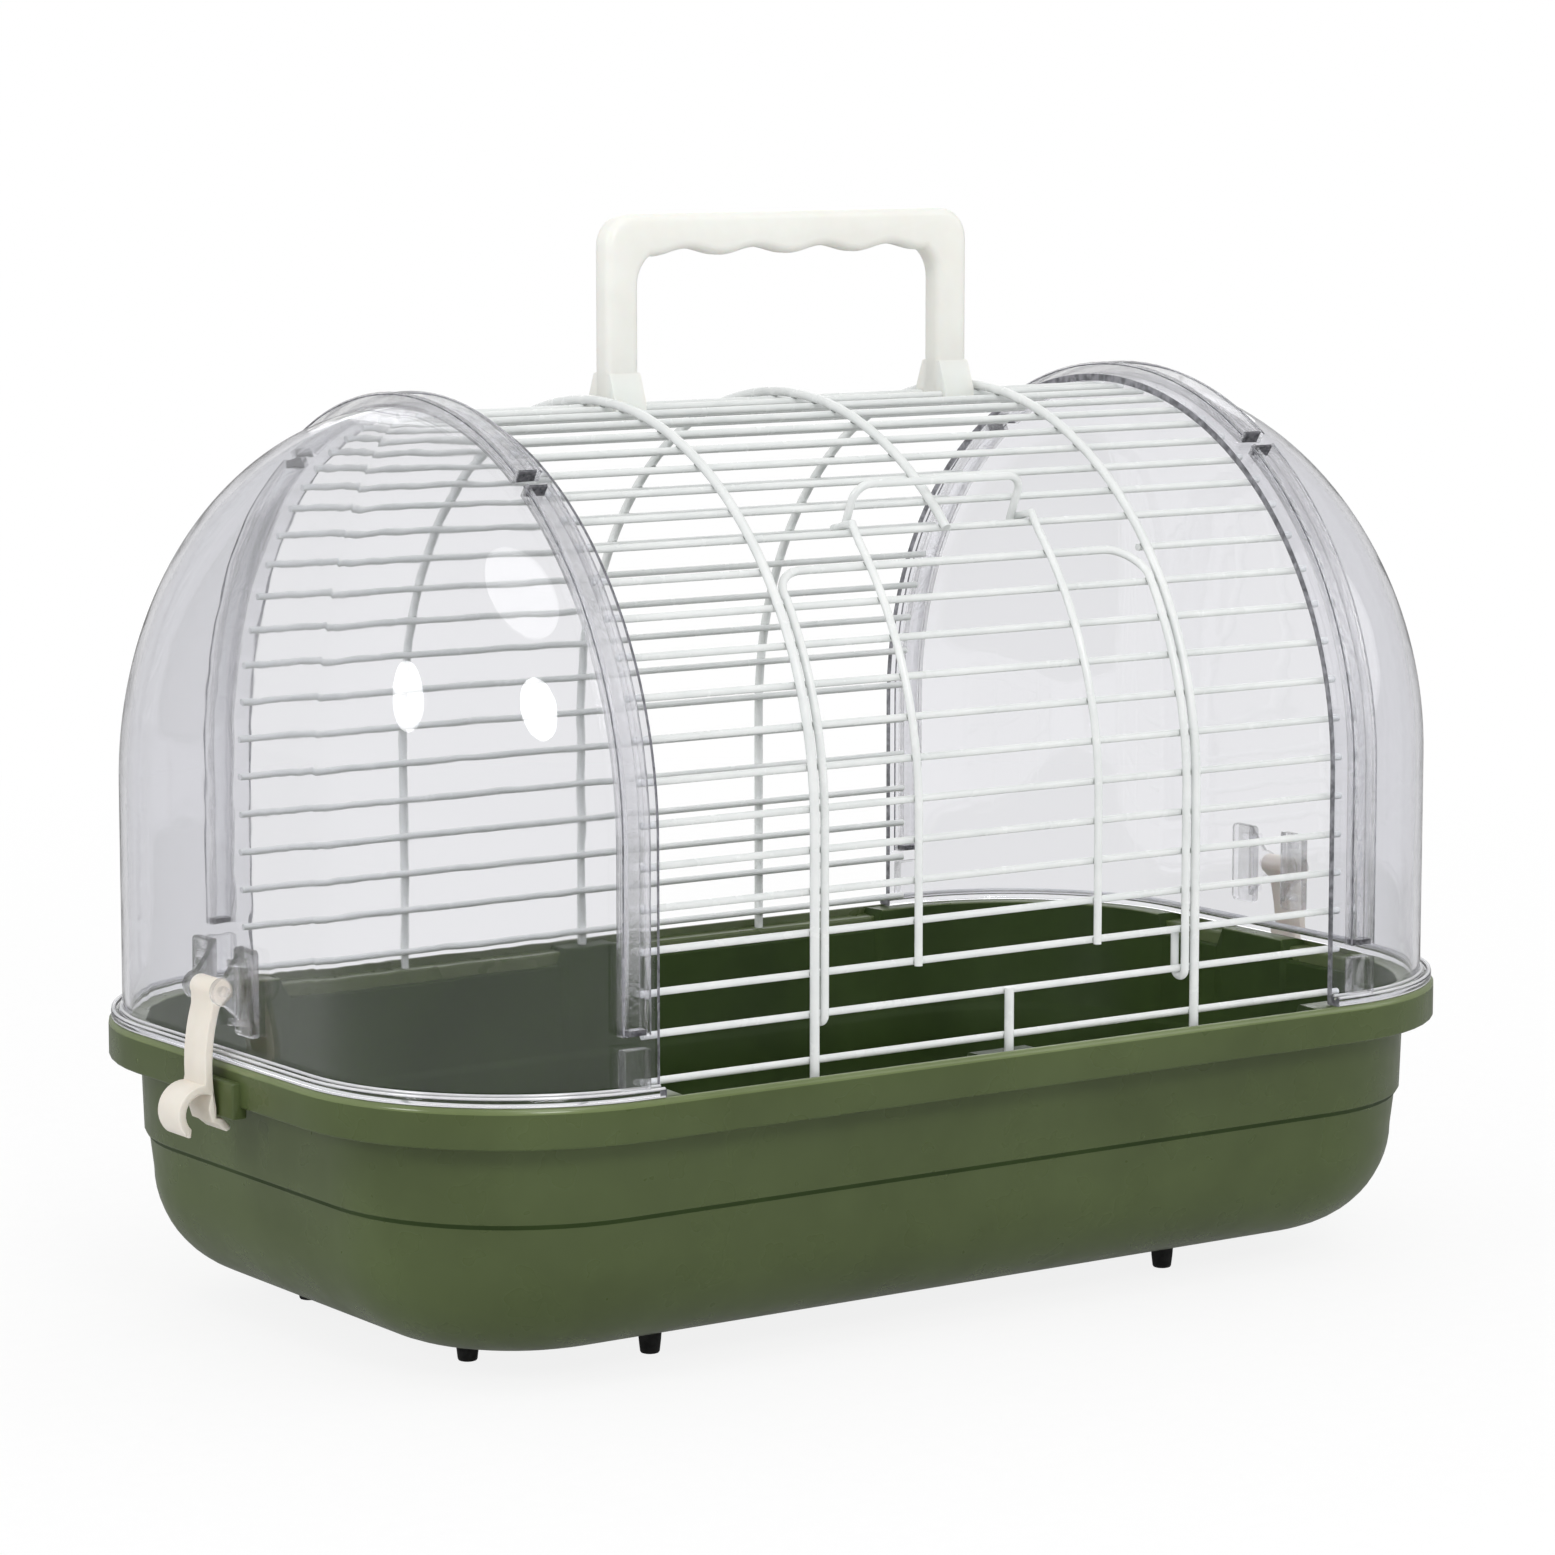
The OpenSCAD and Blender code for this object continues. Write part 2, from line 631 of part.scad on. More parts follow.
// The uprights rise past the top bar and hook over the header wire.
header = arch_pt(header_s, 0);
hook_r = norm(header - [hinge_y, wire_z2]) + (wire_d + upright_d) / 2 + hook_gap;
header_angle = atan2(header[1] - wire_z2, header[0] - hinge_y);
upright_end_s = header_s - roof_pitch / 2;
upright_end = arch_pt(upright_end_s, upright_layer);
hook_a = header_angle + (wire_d + upright_d) / 2 / hook_r * deg;
hook_root = [hinge_y + hook_r * cos(hook_a), wire_z2 + hook_r * sin(hook_a)];
hook_dir = [sin(hook_a), -cos(hook_a)];
hook_tip = hook_root + hook_reach * hook_dir;

module upright() {
    hoop_leg(upright_layer, door_s[0] - wire_d / 2, upright_d);
    hoop_arc(upright_layer, arch_turn(upright_end_s), upright_d);
    bend(upright_end, upright_d);
    across(upright_end, hook_root, upright_d);
    bend(hook_root, upright_d);
    across(hook_root, hook_tip, upright_d);
}

module door_uprights() {
    color("white") for (x = [-upright_x, upright_x]) translate([x, 0, 0]) upright();
}

module door_bars() {
    half = frame_x + frame_d / 2;
    wires([for (i = [0:door_rows - 2]) door_s[i]], -half, half);
}

// The pull bail stands on the hooks, beside the uprights.
module door_bail() {
    x = upright_x - upright_d - weld_gap;
    root = hook_tip - upright_d * hook_dir;
    color("white") translate([0, root[0], root[1]]) rotate([bail_lean, 0, 0]) {
        for (s = [0, 1]) mirror([s, 0, 0]) {
            translate([-x, 0, -upright_d / 2]) cylinder(d = upright_d, h = bail_h - bail_corner + upright_d / 2);
            translate([-x + bail_corner, 0, bail_h - bail_corner]) rotate([90, 0, 0])
                rotate([0, 0, 90]) rotate_extrude(angle = 90) translate([bail_corner, 0]) circle(d = upright_d);
        }
        along_x(0, bail_h, -x + bail_corner, x - bail_corner, upright_d);
    }
}

// Outline of the handle's opening: straight sides, round corners and a row of finger hollows.
module grip_opening(z0, z1) {
    half = handle_l / 2 - leg_w;
    n = hollows * 12;
    wave_half = half - grip_corner / 2;
    difference() {
        union() {
            translate([-half, z0 - over]) square([2 * half, z1 - grip_corner - z0 + over]);
            translate([-half + grip_corner, z0]) square([2 * (half - grip_corner), z1 - z0]);
            for (s = [-1, 1]) translate([s * (half - grip_corner), z1 - grip_corner]) circle(r = grip_corner);
        }
        polygon([for (i = [0:n]) let (t = i / n)
                     [-wave_half + 2 * wave_half * t,
                      z1 - bump_h / 2 * (1 + cos(360 * hollows * t))],
                 [wave_half, z1 + over], [-wave_half, z1 + over]]);
    }
}

module handle() {
    base = spring_z + arch_half + rib_layer + rib_d / 2;
    top = base + handle_h;
    half = handle_l / 2;
    ridge = arch_pt(roof_s[roof_rows - 2], 0);
    clip_low = ridge[1] - wire_d / 2 - clip_lip;
    clip_top = ridge[1] + wire_d / 2 + clip_lip;
    foot_top = base + flare_h;
    color("#f5f5ef") difference() {
        union() {
            translate([0, handle_w / 2, 0]) rotate([90, 0, 0]) linear_extrude(handle_w) difference() {
                union() {
                    translate([-half, clip_low]) square([handle_l, top - handle_corner - clip_low]);
                    translate([-half + handle_corner, clip_low])
                        square([handle_l - 2 * handle_corner, top - clip_low]);
                    for (s = [-1, 1]) translate([s * (half - handle_corner), top - handle_corner])
                        circle(r = handle_corner);
                }
                grip_opening(clip_low, top - grip_h);
            }
            // The feet widen towards the wires
            for (s = [0, 1]) mirror([s, 0, 0]) translate([-half, 0, 0]) rotate([90, 0, 90])
                linear_extrude(leg_w)
                    polygon([[-clip_w / 2, clip_low], [clip_w / 2, clip_low],
                             [clip_w / 2, clip_top], [handle_w / 2, foot_top],
                             [-handle_w / 2, foot_top], [-clip_w / 2, clip_top]]);
        }
        // The grooves that snap over the two ridge wires
        at_both() {
            along_x(ridge[0], ridge[1], -half - over, half + over, wire_d + 2 * clip_gap);
            translate([-half - over, ridge[0] - clip_mouth / 2, clip_low - over])
                cube([handle_l + 2 * over, clip_mouth, ridge[1] - clip_low + over]);
        }
    }
}

tray();
feet();
color("#e6e3ec") dome_shell();  // dome_left
color("#e6e3ec") at_right() dome_shell();  // dome_right
color("#d8d6e0") dome_edge();  // dome_edge_left
color("#d8d6e0") at_right() dome_edge();  // dome_edge_right
color("#c9c7d2") latch_ears();  // latch_ears_left
color("#c9c7d2") at_right() latch_ears();  // latch_ears_right
color("#c9c7d2") latch_pin();  // latch_pin_left
color("#c9c7d2") at_right() latch_pin();  // latch_pin_right
latch();  // latch_left
at_right() latch();  // latch_right
rib(-rib_x);  // rib_left
rib_middle();
rib(rib_x);  // rib_right
sill_stub();
wires([wire_z1], -wire_half, wire_half);  // sill_wire
wires([wire_z2], -wire_half, wire_half);  // hinge_wire
wires([header_s], -wire_half, wire_half);  // header_wire
wires(door_s, -wire_half, -rib_x + rib_d / 2);  // front_wires_left
wires(door_s, rib_x - rib_d / 2, wire_half);  // front_wires_right
roof_wires();
rear_wires();
door_frame();
door_uprights();
door_bars();
door_bail();
handle();
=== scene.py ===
"""Looks of the bird travel carrier: every surface of the tray, cage, door, domes, latches and handle."""
import json
import math

import bmesh
import bpy
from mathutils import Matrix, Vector


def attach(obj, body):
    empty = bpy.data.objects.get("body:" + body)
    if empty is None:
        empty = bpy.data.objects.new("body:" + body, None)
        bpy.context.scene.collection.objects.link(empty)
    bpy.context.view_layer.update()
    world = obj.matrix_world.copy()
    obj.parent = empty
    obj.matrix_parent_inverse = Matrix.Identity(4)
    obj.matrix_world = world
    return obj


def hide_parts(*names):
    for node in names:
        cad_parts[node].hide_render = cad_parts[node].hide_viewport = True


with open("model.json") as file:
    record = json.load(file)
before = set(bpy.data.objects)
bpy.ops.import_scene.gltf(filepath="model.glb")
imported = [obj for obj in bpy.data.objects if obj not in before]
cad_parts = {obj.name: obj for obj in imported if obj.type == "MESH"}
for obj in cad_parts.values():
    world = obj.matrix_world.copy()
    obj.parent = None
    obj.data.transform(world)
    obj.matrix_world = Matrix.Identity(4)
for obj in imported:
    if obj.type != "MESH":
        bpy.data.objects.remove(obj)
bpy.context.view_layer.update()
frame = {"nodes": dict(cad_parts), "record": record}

# Sizes in millimetres, as in the part's source. Tray:
HALF_L, HALF_W, CORNER = 186.0, 112.0, 66.0
RIM_TOP, SKIRT, RIM_T, TRAY_T, WALL_IN = 81.0, 11.0, 2.2, 2.4, 8.6
DRAFT, STEP_Z, STEP_W, TURN_R, FOOT_H = 1.0, 47.0, 1.5, 30.0, 8.0
RECESS, RECESS_L, BLOCK_L, BLOCK_DROP, END_FROM, END_L = 6.0, 210.0, 18.0, 1.0, 17.0, 26.0
CATCH_W, CATCH_OUT, CATCH_H, CATCH_DROP = 26.0, 2.5, 10.0, 3.0
# Cage and door: the arch of the wires, the wires, and their places along the arch from the table up
SPRING, ARCH = 147.0, 104.65
WIRE_D, RIB_D, LAYER = 2.0, 2.6, 2.35
RIB_X, FRAME_X, UPRIGHT_X = 64.7, 61.4, 30.5
LOW_WIRE, HINGE_WIRE, PITCH, DOOR_COUNT, HEADER, ROOF_COUNT = 84.3, 96.7, 11.0, 11, 228.7, 9
# Domes
DOME_GAP, DOME_T, FLANGE_T, FLANGE_IN, STRIP_W = 1.35, 2.0, 2.5, 0.8, 5.5
RIDGE_T, RIDGE_H, RIDGE_GAP, RIDGE_FROM, PAD_H = 1.5, 3.5, 5.2, 17.0, 11.0
# Latches and their ears
LATCH_W, STRAP_T, PIN_D, KNUCKLE_R, STRAP_R, TAB_R = 12.0, 2.4, 3.0, 3.2, 57.0, 6.5
EAR_T, EAR_H, WING_W, PIN_UP, PIN_OUT, EAR_GAP = 2.5, 24.0, 8.0, 20.0, 5.5, 0.3
# Handle
HANDLE_L, HANDLE_H, GRIP_H = 126.0, 50.0, 10.0
BUMP_H, HOLLOWS, GRIP_R, HANDLE_R, CLIP_LIP, FLARE_H = 2.0, 4, 10.0, 9.0, 0.6, 6.0

# Sizes of the look alone: the lip's fillet, and a handle up to 2 mm slimmer on a side than its solid
LIP_R = 1.6
LEG_LOOK, GRIP_LOOK, CLIP_LOOK, END_LOOK = 11.5, 8.0, 14.5, 1.0

MM = 0.001
CORNER_X, CORNER_Y = HALF_L - CORNER, HALF_W - CORNER
DOME_OFF = DOME_GAP + DOME_T
DOME_IN = HALF_W - ARCH - DOME_OFF
DOME_X = HALF_L - DOME_IN
FLANGE_TOP = RIM_TOP + FLANGE_T
PIN_X, PIN_Z = DOME_X + PIN_OUT, RIM_TOP + PIN_UP
CATCH_X, CATCH_LOW = HALF_L + CATCH_OUT, RIM_TOP - SKIRT - CATCH_DROP
FAR_RIDGE = CORNER_X + RIDGE_T * 1.5 + RIDGE_GAP
RIDGE_FOOT = RIM_TOP + RIDGE_FROM
# The break in the ridges: its edges as turns over the arch, in degrees
BREAK_LOW, BREAK_HIGH = (56.0 + side * math.degrees(2.5 / ARCH) for side in (-1, 1))
ROOF_TOP = SPRING + ARCH + LAYER + RIB_D / 2
ROOF_PITCH = (SPRING + ARCH * math.pi / 2 - HEADER) / (ROOF_COUNT - 0.5)


# ---------------------------------------------------------------- materials

def linear(code, alpha=1.0):
    """The linear colour of an sRGB hex code."""
    parts = [int(code[i:i + 2], 16) / 255 for i in (0, 2, 4)]
    return tuple(p / 12.92 if p <= 0.04045 else ((p + 0.055) / 1.055) ** 2.4 for p in parts) + (alpha,)


def add(tree, kind, inputs=None, **settings):
    """Adds a node with its settings, and gives its inputs values or links."""
    node = tree.nodes.new("ShaderNode" + kind)
    for name, value in settings.items():
        setattr(node, name, value)
    for key, value in (inputs or {}).items():
        socket = node.inputs[key]
        if isinstance(value, bpy.types.NodeSocket):
            tree.links.new(value, socket)
        else:
            socket.default_value = value
    return node


def material(name, build):
    """A new material whose surface is what build returns."""
    mat = bpy.data.materials.new(name)
    mat.use_nodes = True
    mat.node_tree.nodes.clear()
    add(mat.node_tree, "OutputMaterial", {"Surface": build(mat.node_tree)})
    return mat


def pattern(tree, size_mm, detail=2.0, stretch=(1, 1, 1)):
    """Noise whose patches are about size_mm across, fixed to the piece."""
    place = add(tree, "Mapping", {"Vector": add(tree, "TexCoord").outputs["Object"], "Scale": stretch})
    return add(tree, "TexNoise", {"Vector": place.outputs["Vector"], "Scale": 1 / (size_mm * MM),
                                  "Detail": detail, "Roughness": 0.55}).outputs["Fac"]


def between(tree, value, low, high, at=(0.35, 0.65)):
    """Spreads a pattern's value between two colours or two numbers."""
    if isinstance(low, str):
        ramp = add(tree, "ValToRGB", {"Fac": value})
        for element, code, place in zip(ramp.color_ramp.elements, (low, high), at):
            element.color, element.position = linear(code), place
        return ramp.outputs["Color"]
    return add(tree, "MapRange", {"Value": value, "From Min": at[0], "From Max": at[1],
                                  "To Min": low, "To Max": high}).outputs["Result"]


def relief(tree, value, depth_mm):
    """A pattern as small hills of depth_mm."""
    return add(tree, "Bump", {"Height": value, "Distance": depth_mm * MM, "Strength": 1.0}).outputs["Normal"]


def green_abs(tree, dark, light, rough, shine):
    """Olive ABS between two shades, with slow waves; shine is its Specular IOR Level."""
    clouds = between(tree, pattern(tree, 45, 3), dark, light)
    return add(tree, "BsdfPrincipled", {
        "Base Color": clouds, "Roughness": between(tree, pattern(tree, 12), *rough), "IOR": 1.5,
        "Specular IOR Level": shine, "Normal": relief(tree, pattern(tree, 30, 0), 0.08)}).outputs[0]


def tray_abs(tree):
    # Injection moulded ABS in olive green: satin, with faint flow clouds and slight ripples
    return green_abs(tree, "4C5833", "54613A", rough=(0.26, 0.34), shine=0.4)


def tray_painted_shade_abs(tree):
    # The same ABS with painted shade: darker, where shade falls inside the tray, and less glossy
    return green_abs(tree, "2C3B1A", "34451E", rough=(0.45, 0.55), shine=0.15)


def tray_lip_highlight_abs(tree):
    # The same ABS along the lip with a painted highlight: paler, and smoother
    return green_abs(tree, "6B784D", "78855A", rough=(0.16, 0.22), shine=0.6)


def foot_rubber(tree):
    # Moulded rubber: matt black, slightly dusty
    return add(tree, "BsdfPrincipled", {
        "Base Color": between(tree, pattern(tree, 3), "141414", "232323"), "IOR": 1.5,
        "Roughness": between(tree, pattern(tree, 2), 0.6, 0.8),
        "Normal": relief(tree, pattern(tree, 0.5), 0.03)}).outputs[0]


def clear_plastic(tree, flat_on, edge_on, rough, wave_mm, depth_mm, solid=1.0):
    """Clear plastic: its colour seen flat on, its painted shade seen edge on, its waves, and how much of it
    bends light.
    Shadow rays pass it, as light does in life. Thick parts take solid below 1, because stacked
    surfaces would else bend all the light away."""
    # Painted shade: the colour darkens as the surface turns edge on
    slant = add(tree, "LayerWeight", {"Blend": 0.3}).outputs["Facing"]
    shell = add(tree, "BsdfPrincipled", {
        "Base Color": between(tree, slant, flat_on, edge_on, at=(0.5, 1.0)), "IOR": 1.49,
        "Transmission Weight": 1.0, "Roughness": between(tree, pattern(tree, 14), *rough),
        "Alpha": solid, "Normal": relief(tree, pattern(tree, wave_mm), depth_mm)})
    through = add(tree, "BsdfTransparent", {"Color": linear("F1F1F3")})
    return add(tree, "MixShader", {0: add(tree, "LightPath").outputs["Is Shadow Ray"],
                                   1: shell.outputs[0], 2: through.outputs[0]}).outputs[0]


def dome_styrene(tree):
    # Clear moulded styrene: polished on both sides, with a faint lilac cast and slow waves
    return clear_plastic(tree, "EBEBEE", "CCCCD2", rough=(0.01, 0.03), wave_mm=28, depth_mm=0.12)


def edge_styrene(tree):
    # The ridges: painted shade greys their edges, and small ripples break up what shows through
    return clear_plastic(tree, "F6F6F8", "A2A2A8", rough=(0.01, 0.05), wave_mm=5, depth_mm=0.05, solid=0.5)


def pebbled_styrene(tree):
    # The same plastic with a pebbled texture, drawn as 1.6 mm grains so that it shows
    return clear_plastic(tree, "EAEAED", "96969C", rough=(0.05, 0.15), wave_mm=1.6, depth_mm=0.2, solid=0.6)


def ear_styrene(tree):
    # The thick ears: clear, with painted shade that greys their sides
    return clear_plastic(tree, "F6F6F8", "A8A8AE", rough=(0.02, 0.06), wave_mm=4, depth_mm=0.05, solid=0.5)


def lit_edge_styrene(tree):
    # Painted highlight: a moulded edge drawn near white, for the light it gathers from the whole wall
    return add(tree, "BsdfPrincipled", {
        "Base Color": between(tree, pattern(tree, 9), "F2F2F5", "FBFBFC"), "IOR": 1.49,
        "Transmission Weight": 0.25, "Roughness": between(tree, pattern(tree, 4), 0.1, 0.2)}).outputs[0]


def end_cap_styrene(tree):
    # Painted shade: the blind ends of the ridges, where the wall is seen through its length, drawn nearly black
    return add(tree, "BsdfPrincipled", {
        "Base Color": between(tree, pattern(tree, 1.2), "3C3C40", "6E6E73"), "IOR": 1.49,
        "Roughness": between(tree, pattern(tree, 1.5), 0.15, 0.3)}).outputs[0]


def outline_styrene(tree):
    # Painted shade: corners and cut edges, which bend the light away, drawn as fine grey lines
    return add(tree, "BsdfPrincipled", {
        "Base Color": between(tree, pattern(tree, 2.5), "68686D", "9C9CA2"), "IOR": 1.49,
        "Roughness": between(tree, pattern(tree, 3), 0.15, 0.3)}).outputs[0]


def weld_enamel(tree):
    # Weld spots: greyer than the wire, and dull
    return add(tree, "BsdfPrincipled", {
        "Base Color": between(tree, pattern(tree, 1.5), "8E9290", "C9CCCA"), "IOR": 1.5,
        "Roughness": between(tree, pattern(tree, 1), 0.35, 0.6)}).outputs[0]


def latch_abs(tree):
    # Cream ABS: satin, warm, with a soft sheen on its worn edges
    return add(tree, "BsdfPrincipled", {
        "Base Color": between(tree, pattern(tree, 16, 3), "E9E0D3", "F0E8DD"), "IOR": 1.52,
        "Roughness": between(tree, pattern(tree, 5), 0.32, 0.42), "Subsurface Weight": 0.05,
        "Normal": relief(tree, pattern(tree, 0.7), 0.015)}).outputs[0]


def wire_enamel(tree):
    # Steel wire dipped in white enamel: glossy, a little thicker in places
    return add(tree, "BsdfPrincipled", {
        "Base Color": between(tree, pattern(tree, 12, 3), "E6E9E8", "EEF0EF"), "IOR": 1.5,
        "Roughness": between(tree, pattern(tree, 4), 0.16, 0.28),
        "Normal": relief(tree, pattern(tree, 2.5, stretch=(0.4, 1, 1)), 0.05)}).outputs[0]


def handle_pp(tree):
    # Moulded polypropylene, warm white: waxy, with soft edges and shallow sink marks
    return add(tree, "BsdfPrincipled", {
        "Base Color": between(tree, pattern(tree, 20, 3), "F5F4ED", "F9F9F3"), "IOR": 1.49,
        "Roughness": between(tree, pattern(tree, 6), 0.28, 0.4), "Subsurface Weight": 0.08,
        "Normal": relief(tree, pattern(tree, 7), 0.05)}).outputs[0]


def floor_paper(tree):
    # Seamless studio paper, seen as white, that still takes the carrier's shadow
    path = add(tree, "LightPath")
    seen = add(tree, "Math", {0: path.outputs["Is Camera Ray"], 1: path.outputs["Is Glossy Ray"]},
               operation="ADD")
    seen = add(tree, "Math", {0: seen.outputs[0], 1: path.outputs["Is Transmission Ray"]}, operation="ADD",
               use_clamp=True)
    # The paper fades to even white away from the carrier
    reach = add(tree, "VectorMath", {0: add(tree, "TexCoord").outputs["Object"]}, operation="LENGTH")
    even = between(tree, reach.outputs["Value"], 0.86, 1.0, at=(0.35, 1.1))
    share = add(tree, "Math", {0: seen.outputs[0], 1: even}, operation="MULTIPLY")
    paper = add(tree, "BsdfDiffuse", {"Color": between(tree, pattern(tree, 6), "F2F2F2", "F6F6F6")})
    # Gloss sees the paper dimmer, so that the clear domes carry no haze
    mirrored_only = add(tree, "Math", {0: path.outputs["Is Glossy Ray"],
                                       1: path.outputs["Is Transmission Ray"]},
                        operation="SUBTRACT", use_clamp=True)
    level = between(tree, mirrored_only.outputs[0], 1.0, 0.3, at=(0, 1))
    glow = add(tree, "Emission", {"Color": linear("FFFFFF"), "Strength": level})
    return add(tree, "MixShader", {0: share.outputs[0], 1: paper.outputs[0], 2: glow.outputs[0]}).outputs[0]


GREEN = material("olive_abs_satin", tray_abs)
# Painted shade for the tray's inside, its recess floors and its step
GREEN_PAINTED_SHADE = material("olive_abs_painted_shade", tray_painted_shade_abs)
# Painted highlight along the tray's lip
GREEN_PAINTED_HIGHLIGHT = material("olive_abs_painted_highlight_lip", tray_lip_highlight_abs)
RUBBER = material("black_rubber_matt", foot_rubber)
CLEAR = material("clear_styrene_polished", dome_styrene)
RIPPLED = material("clear_styrene_textured", edge_styrene)
PEBBLED = material("clear_styrene_pebbled", pebbled_styrene)
THICK = material("clear_styrene_thick", ear_styrene)
LIT_EDGE = material("styrene_lit_edge", lit_edge_styrene)
BLIND_END = material("styrene_blind_end", end_cap_styrene)
GREY_LINE = material("styrene_bent_light_line", outline_styrene)
WELD = material("enamelled_weld_spot", weld_enamel)
CREAM = material("cream_abs_satin", latch_abs)
ENAMEL = material("white_enamelled_wire", wire_enamel)
WAXY = material("warm_white_polypropylene", handle_pp)
PAPER = material("studio_paper", floor_paper)


# ---------------------------------------------------------------- mesh making

def skin(rings, closed=True, looped=False, capped=True):
    """Points and faces of a skin over rings of points, all rings of one count. closed joins each ring's
    ends, looped joins the last ring to the first, and capped fills the first ring and the last."""
    n, m = len(rings[0]), len(rings)
    faces = []
    for k in range(m if looped else m - 1):
        a, b = k * n, (k + 1) % m * n
        for j in range(n if closed else n - 1):
            i = (j + 1) % n
            faces.append((a + j, a + i, b + i, b + j))
    if capped and not looped:
        faces += [tuple(range(n))[::-1], tuple(range((m - 1) * n, m * n))]
    return [p for ring in rings for p in ring], faces


def piece(name, shapes, finish, body, slot, nodes=(), sharp=32, other_finishes=(), pick=None):
    """Makes one object of several shapes, puts it on its body and hides the nodes it stands for.
    pick gives the number of a face's finish from its centre and its direction."""
    mesh = bpy.data.meshes.new(name)
    points, faces = [], []
    for shape_points, shape_faces in shapes:
        start = len(points)
        points += [Vector(p) * MM for p in shape_points]
        faces += [tuple(i + start for i in f) for f in shape_faces]
    mesh.from_pydata(points, [], faces)
    bm = bmesh.new()
    bm.from_mesh(mesh)
    bmesh.ops.remove_doubles(bm, verts=bm.verts, dist=1e-7)
    bmesh.ops.dissolve_degenerate(bm, edges=bm.edges, dist=1e-7)
    bmesh.ops.recalc_face_normals(bm, faces=bm.faces)
    bm.to_mesh(mesh)
    bm.free()
    mesh.polygons.foreach_set("use_smooth", [True] * len(mesh.polygons))
    mesh.set_sharp_from_angle(angle=math.radians(sharp))
    for each in (finish,) + tuple(other_finishes):
        mesh.materials.append(each)
    if pick:
        for face in mesh.polygons:
            face.material_index = pick(face.center / MM, face.normal)
    obj = bpy.data.objects.new(name, mesh)
    bpy.context.scene.collection.objects.link(obj)
    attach(obj, body)
    if nodes:
        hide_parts(*nodes)
    return obj


def mirrored(shape, axis=0):
    """A shape mirrored across the middle: left to right, or front to back with axis 1."""
    return [tuple(-c if i == axis else c for i, c in enumerate(p)) for p in shape[0]], shape[1]


def arc(centre, radius, start, end, steps):
    """Points of an arc in a plane, from one angle to the other in degrees."""
    turns = [math.radians(start + (end - start) * i / steps) for i in range(steps + 1)]
    return [(centre[0] + radius * math.cos(t), centre[1] + radius * math.sin(t)) for t in turns]


def inset(outline, d):
    """A closed outline drawn in by d, to the left of its direction."""
    out = []
    for i, p in enumerate(outline):
        a, b = outline[i - 1], outline[(i + 1) % len(outline)]
        u = Vector((p[0] - a[0], p[1] - a[1])).normalized()
        v = Vector((b[0] - p[0], b[1] - p[1])).normalized()
        nu, nv = Vector((-u.y, u.x)), Vector((-v.y, v.x))
        move = (nu + nv) / max(0.35, 1 + nu.dot(nv)) * d
        out.append((p[0] + move.x, p[1] + move.y))
    return out


def plate(outline, low, high, fillet, place, steps=3):
    """A plate of an outline, counter-clockwise, from low to high, with rounded edges."""
    rings = []
    for side, edge in ((-1, low), (1, high)):
        part = []
        for k in range(steps + 1):
            t = math.pi / 2 * k / steps
            ring = inset(outline, fillet * (1 - math.sin(t)))
            part.append([place(u, v, edge - side * fillet * (1 - math.cos(t))) for u, v in ring])
        rings += part if side < 0 else part[::-1]
    return skin(rings)


def rounded(corners, radius, steps=4):
    """A closed outline with its corners rounded; each corner may carry its own radius."""
    out = []
    for i, c in enumerate(corners):
        p, r = Vector(c[:2]), c[2] if len(c) > 2 else radius
        a, b = Vector(corners[i - 1][:2]), Vector(corners[(i + 1) % len(corners)][:2])
        u, v = (a - p).normalized(), (b - p).normalized()
        half = math.acos(max(-1, min(1, u.dot(v)))) / 2
        if r <= 0 or half > 1.5:
            out.append(tuple(p))
            continue
        centre = p + (u + v).normalized() * r / math.sin(half)
        start, end = p + u * r / math.tan(half) - centre, p + v * r / math.tan(half) - centre
        turn = start.angle_signed(end)
        for k in range(steps + 1):
            t = -turn * k / steps
            out.append((centre.x + start.x * math.cos(t) - start.y * math.sin(t),
                        centre.y + start.x * math.sin(t) + start.y * math.cos(t)))
    return out


def plan(front, end, corner_steps=14):
    """Stations round the tray: the corner's axis, the outward direction and the place along the side.
    front and end list the places along a long side and along an end, from the middle to the corner."""
    full = [-v for v in reversed(front)] + [v for v in front if v > 0]
    ends = [-v for v in reversed(end)] + [v for v in end if v > 0]
    stations = []
    for quarter in range(4):
        t0 = -90 + 90 * quarter
        side, reach, across = (full, CORNER_X, CORNER_Y) if quarter % 2 == 0 else (ends, CORNER_Y, CORNER_X)
        n = Vector((math.cos(math.radians(t0)), math.sin(math.radians(t0))))
        along = Vector((-n.y, n.x))
        for s in side:
            stations.append((n * across + along * s, n, (quarter % 2, s)))
        corner = n * across + along * reach
        for k in range(1, corner_steps):
            t = math.radians(t0 + 90 * k / corner_steps)
            stations.append((corner, Vector((math.cos(t), math.sin(t))), None))
    return stations


def ring_round(stations, profile):
    """One ring per station: the profile's points, drawn outwards from the station's axis."""
    return [[(axis.x + n.x * r, axis.y + n.y * r, z) for r, z in profile(where)]
            for axis, n, where in stations]


# ---------------------------------------------------------------- tray

def ramp_down(s, start, end, depth):
    """Depth at s of a recess between start and end, whose ends slope."""
    slope = depth / 2
    return max(0.0, min(depth, (s - start + slope) * 2, (end + slope - s) * 2))


def rim_drop(where):
    """How far the rim inside its lip lies below the rim's top."""
    if where is None:
        return 0.0
    side, s = where[0], abs(where[1])
    if side:
        return ramp_down(s, END_FROM, END_FROM + END_L, RECESS)
    edge = BLOCK_L / 2 + RECESS / 2
    return max(ramp_down(s, edge, RECESS_L / 2, RECESS), ramp_down(s, -edge, edge, BLOCK_DROP))


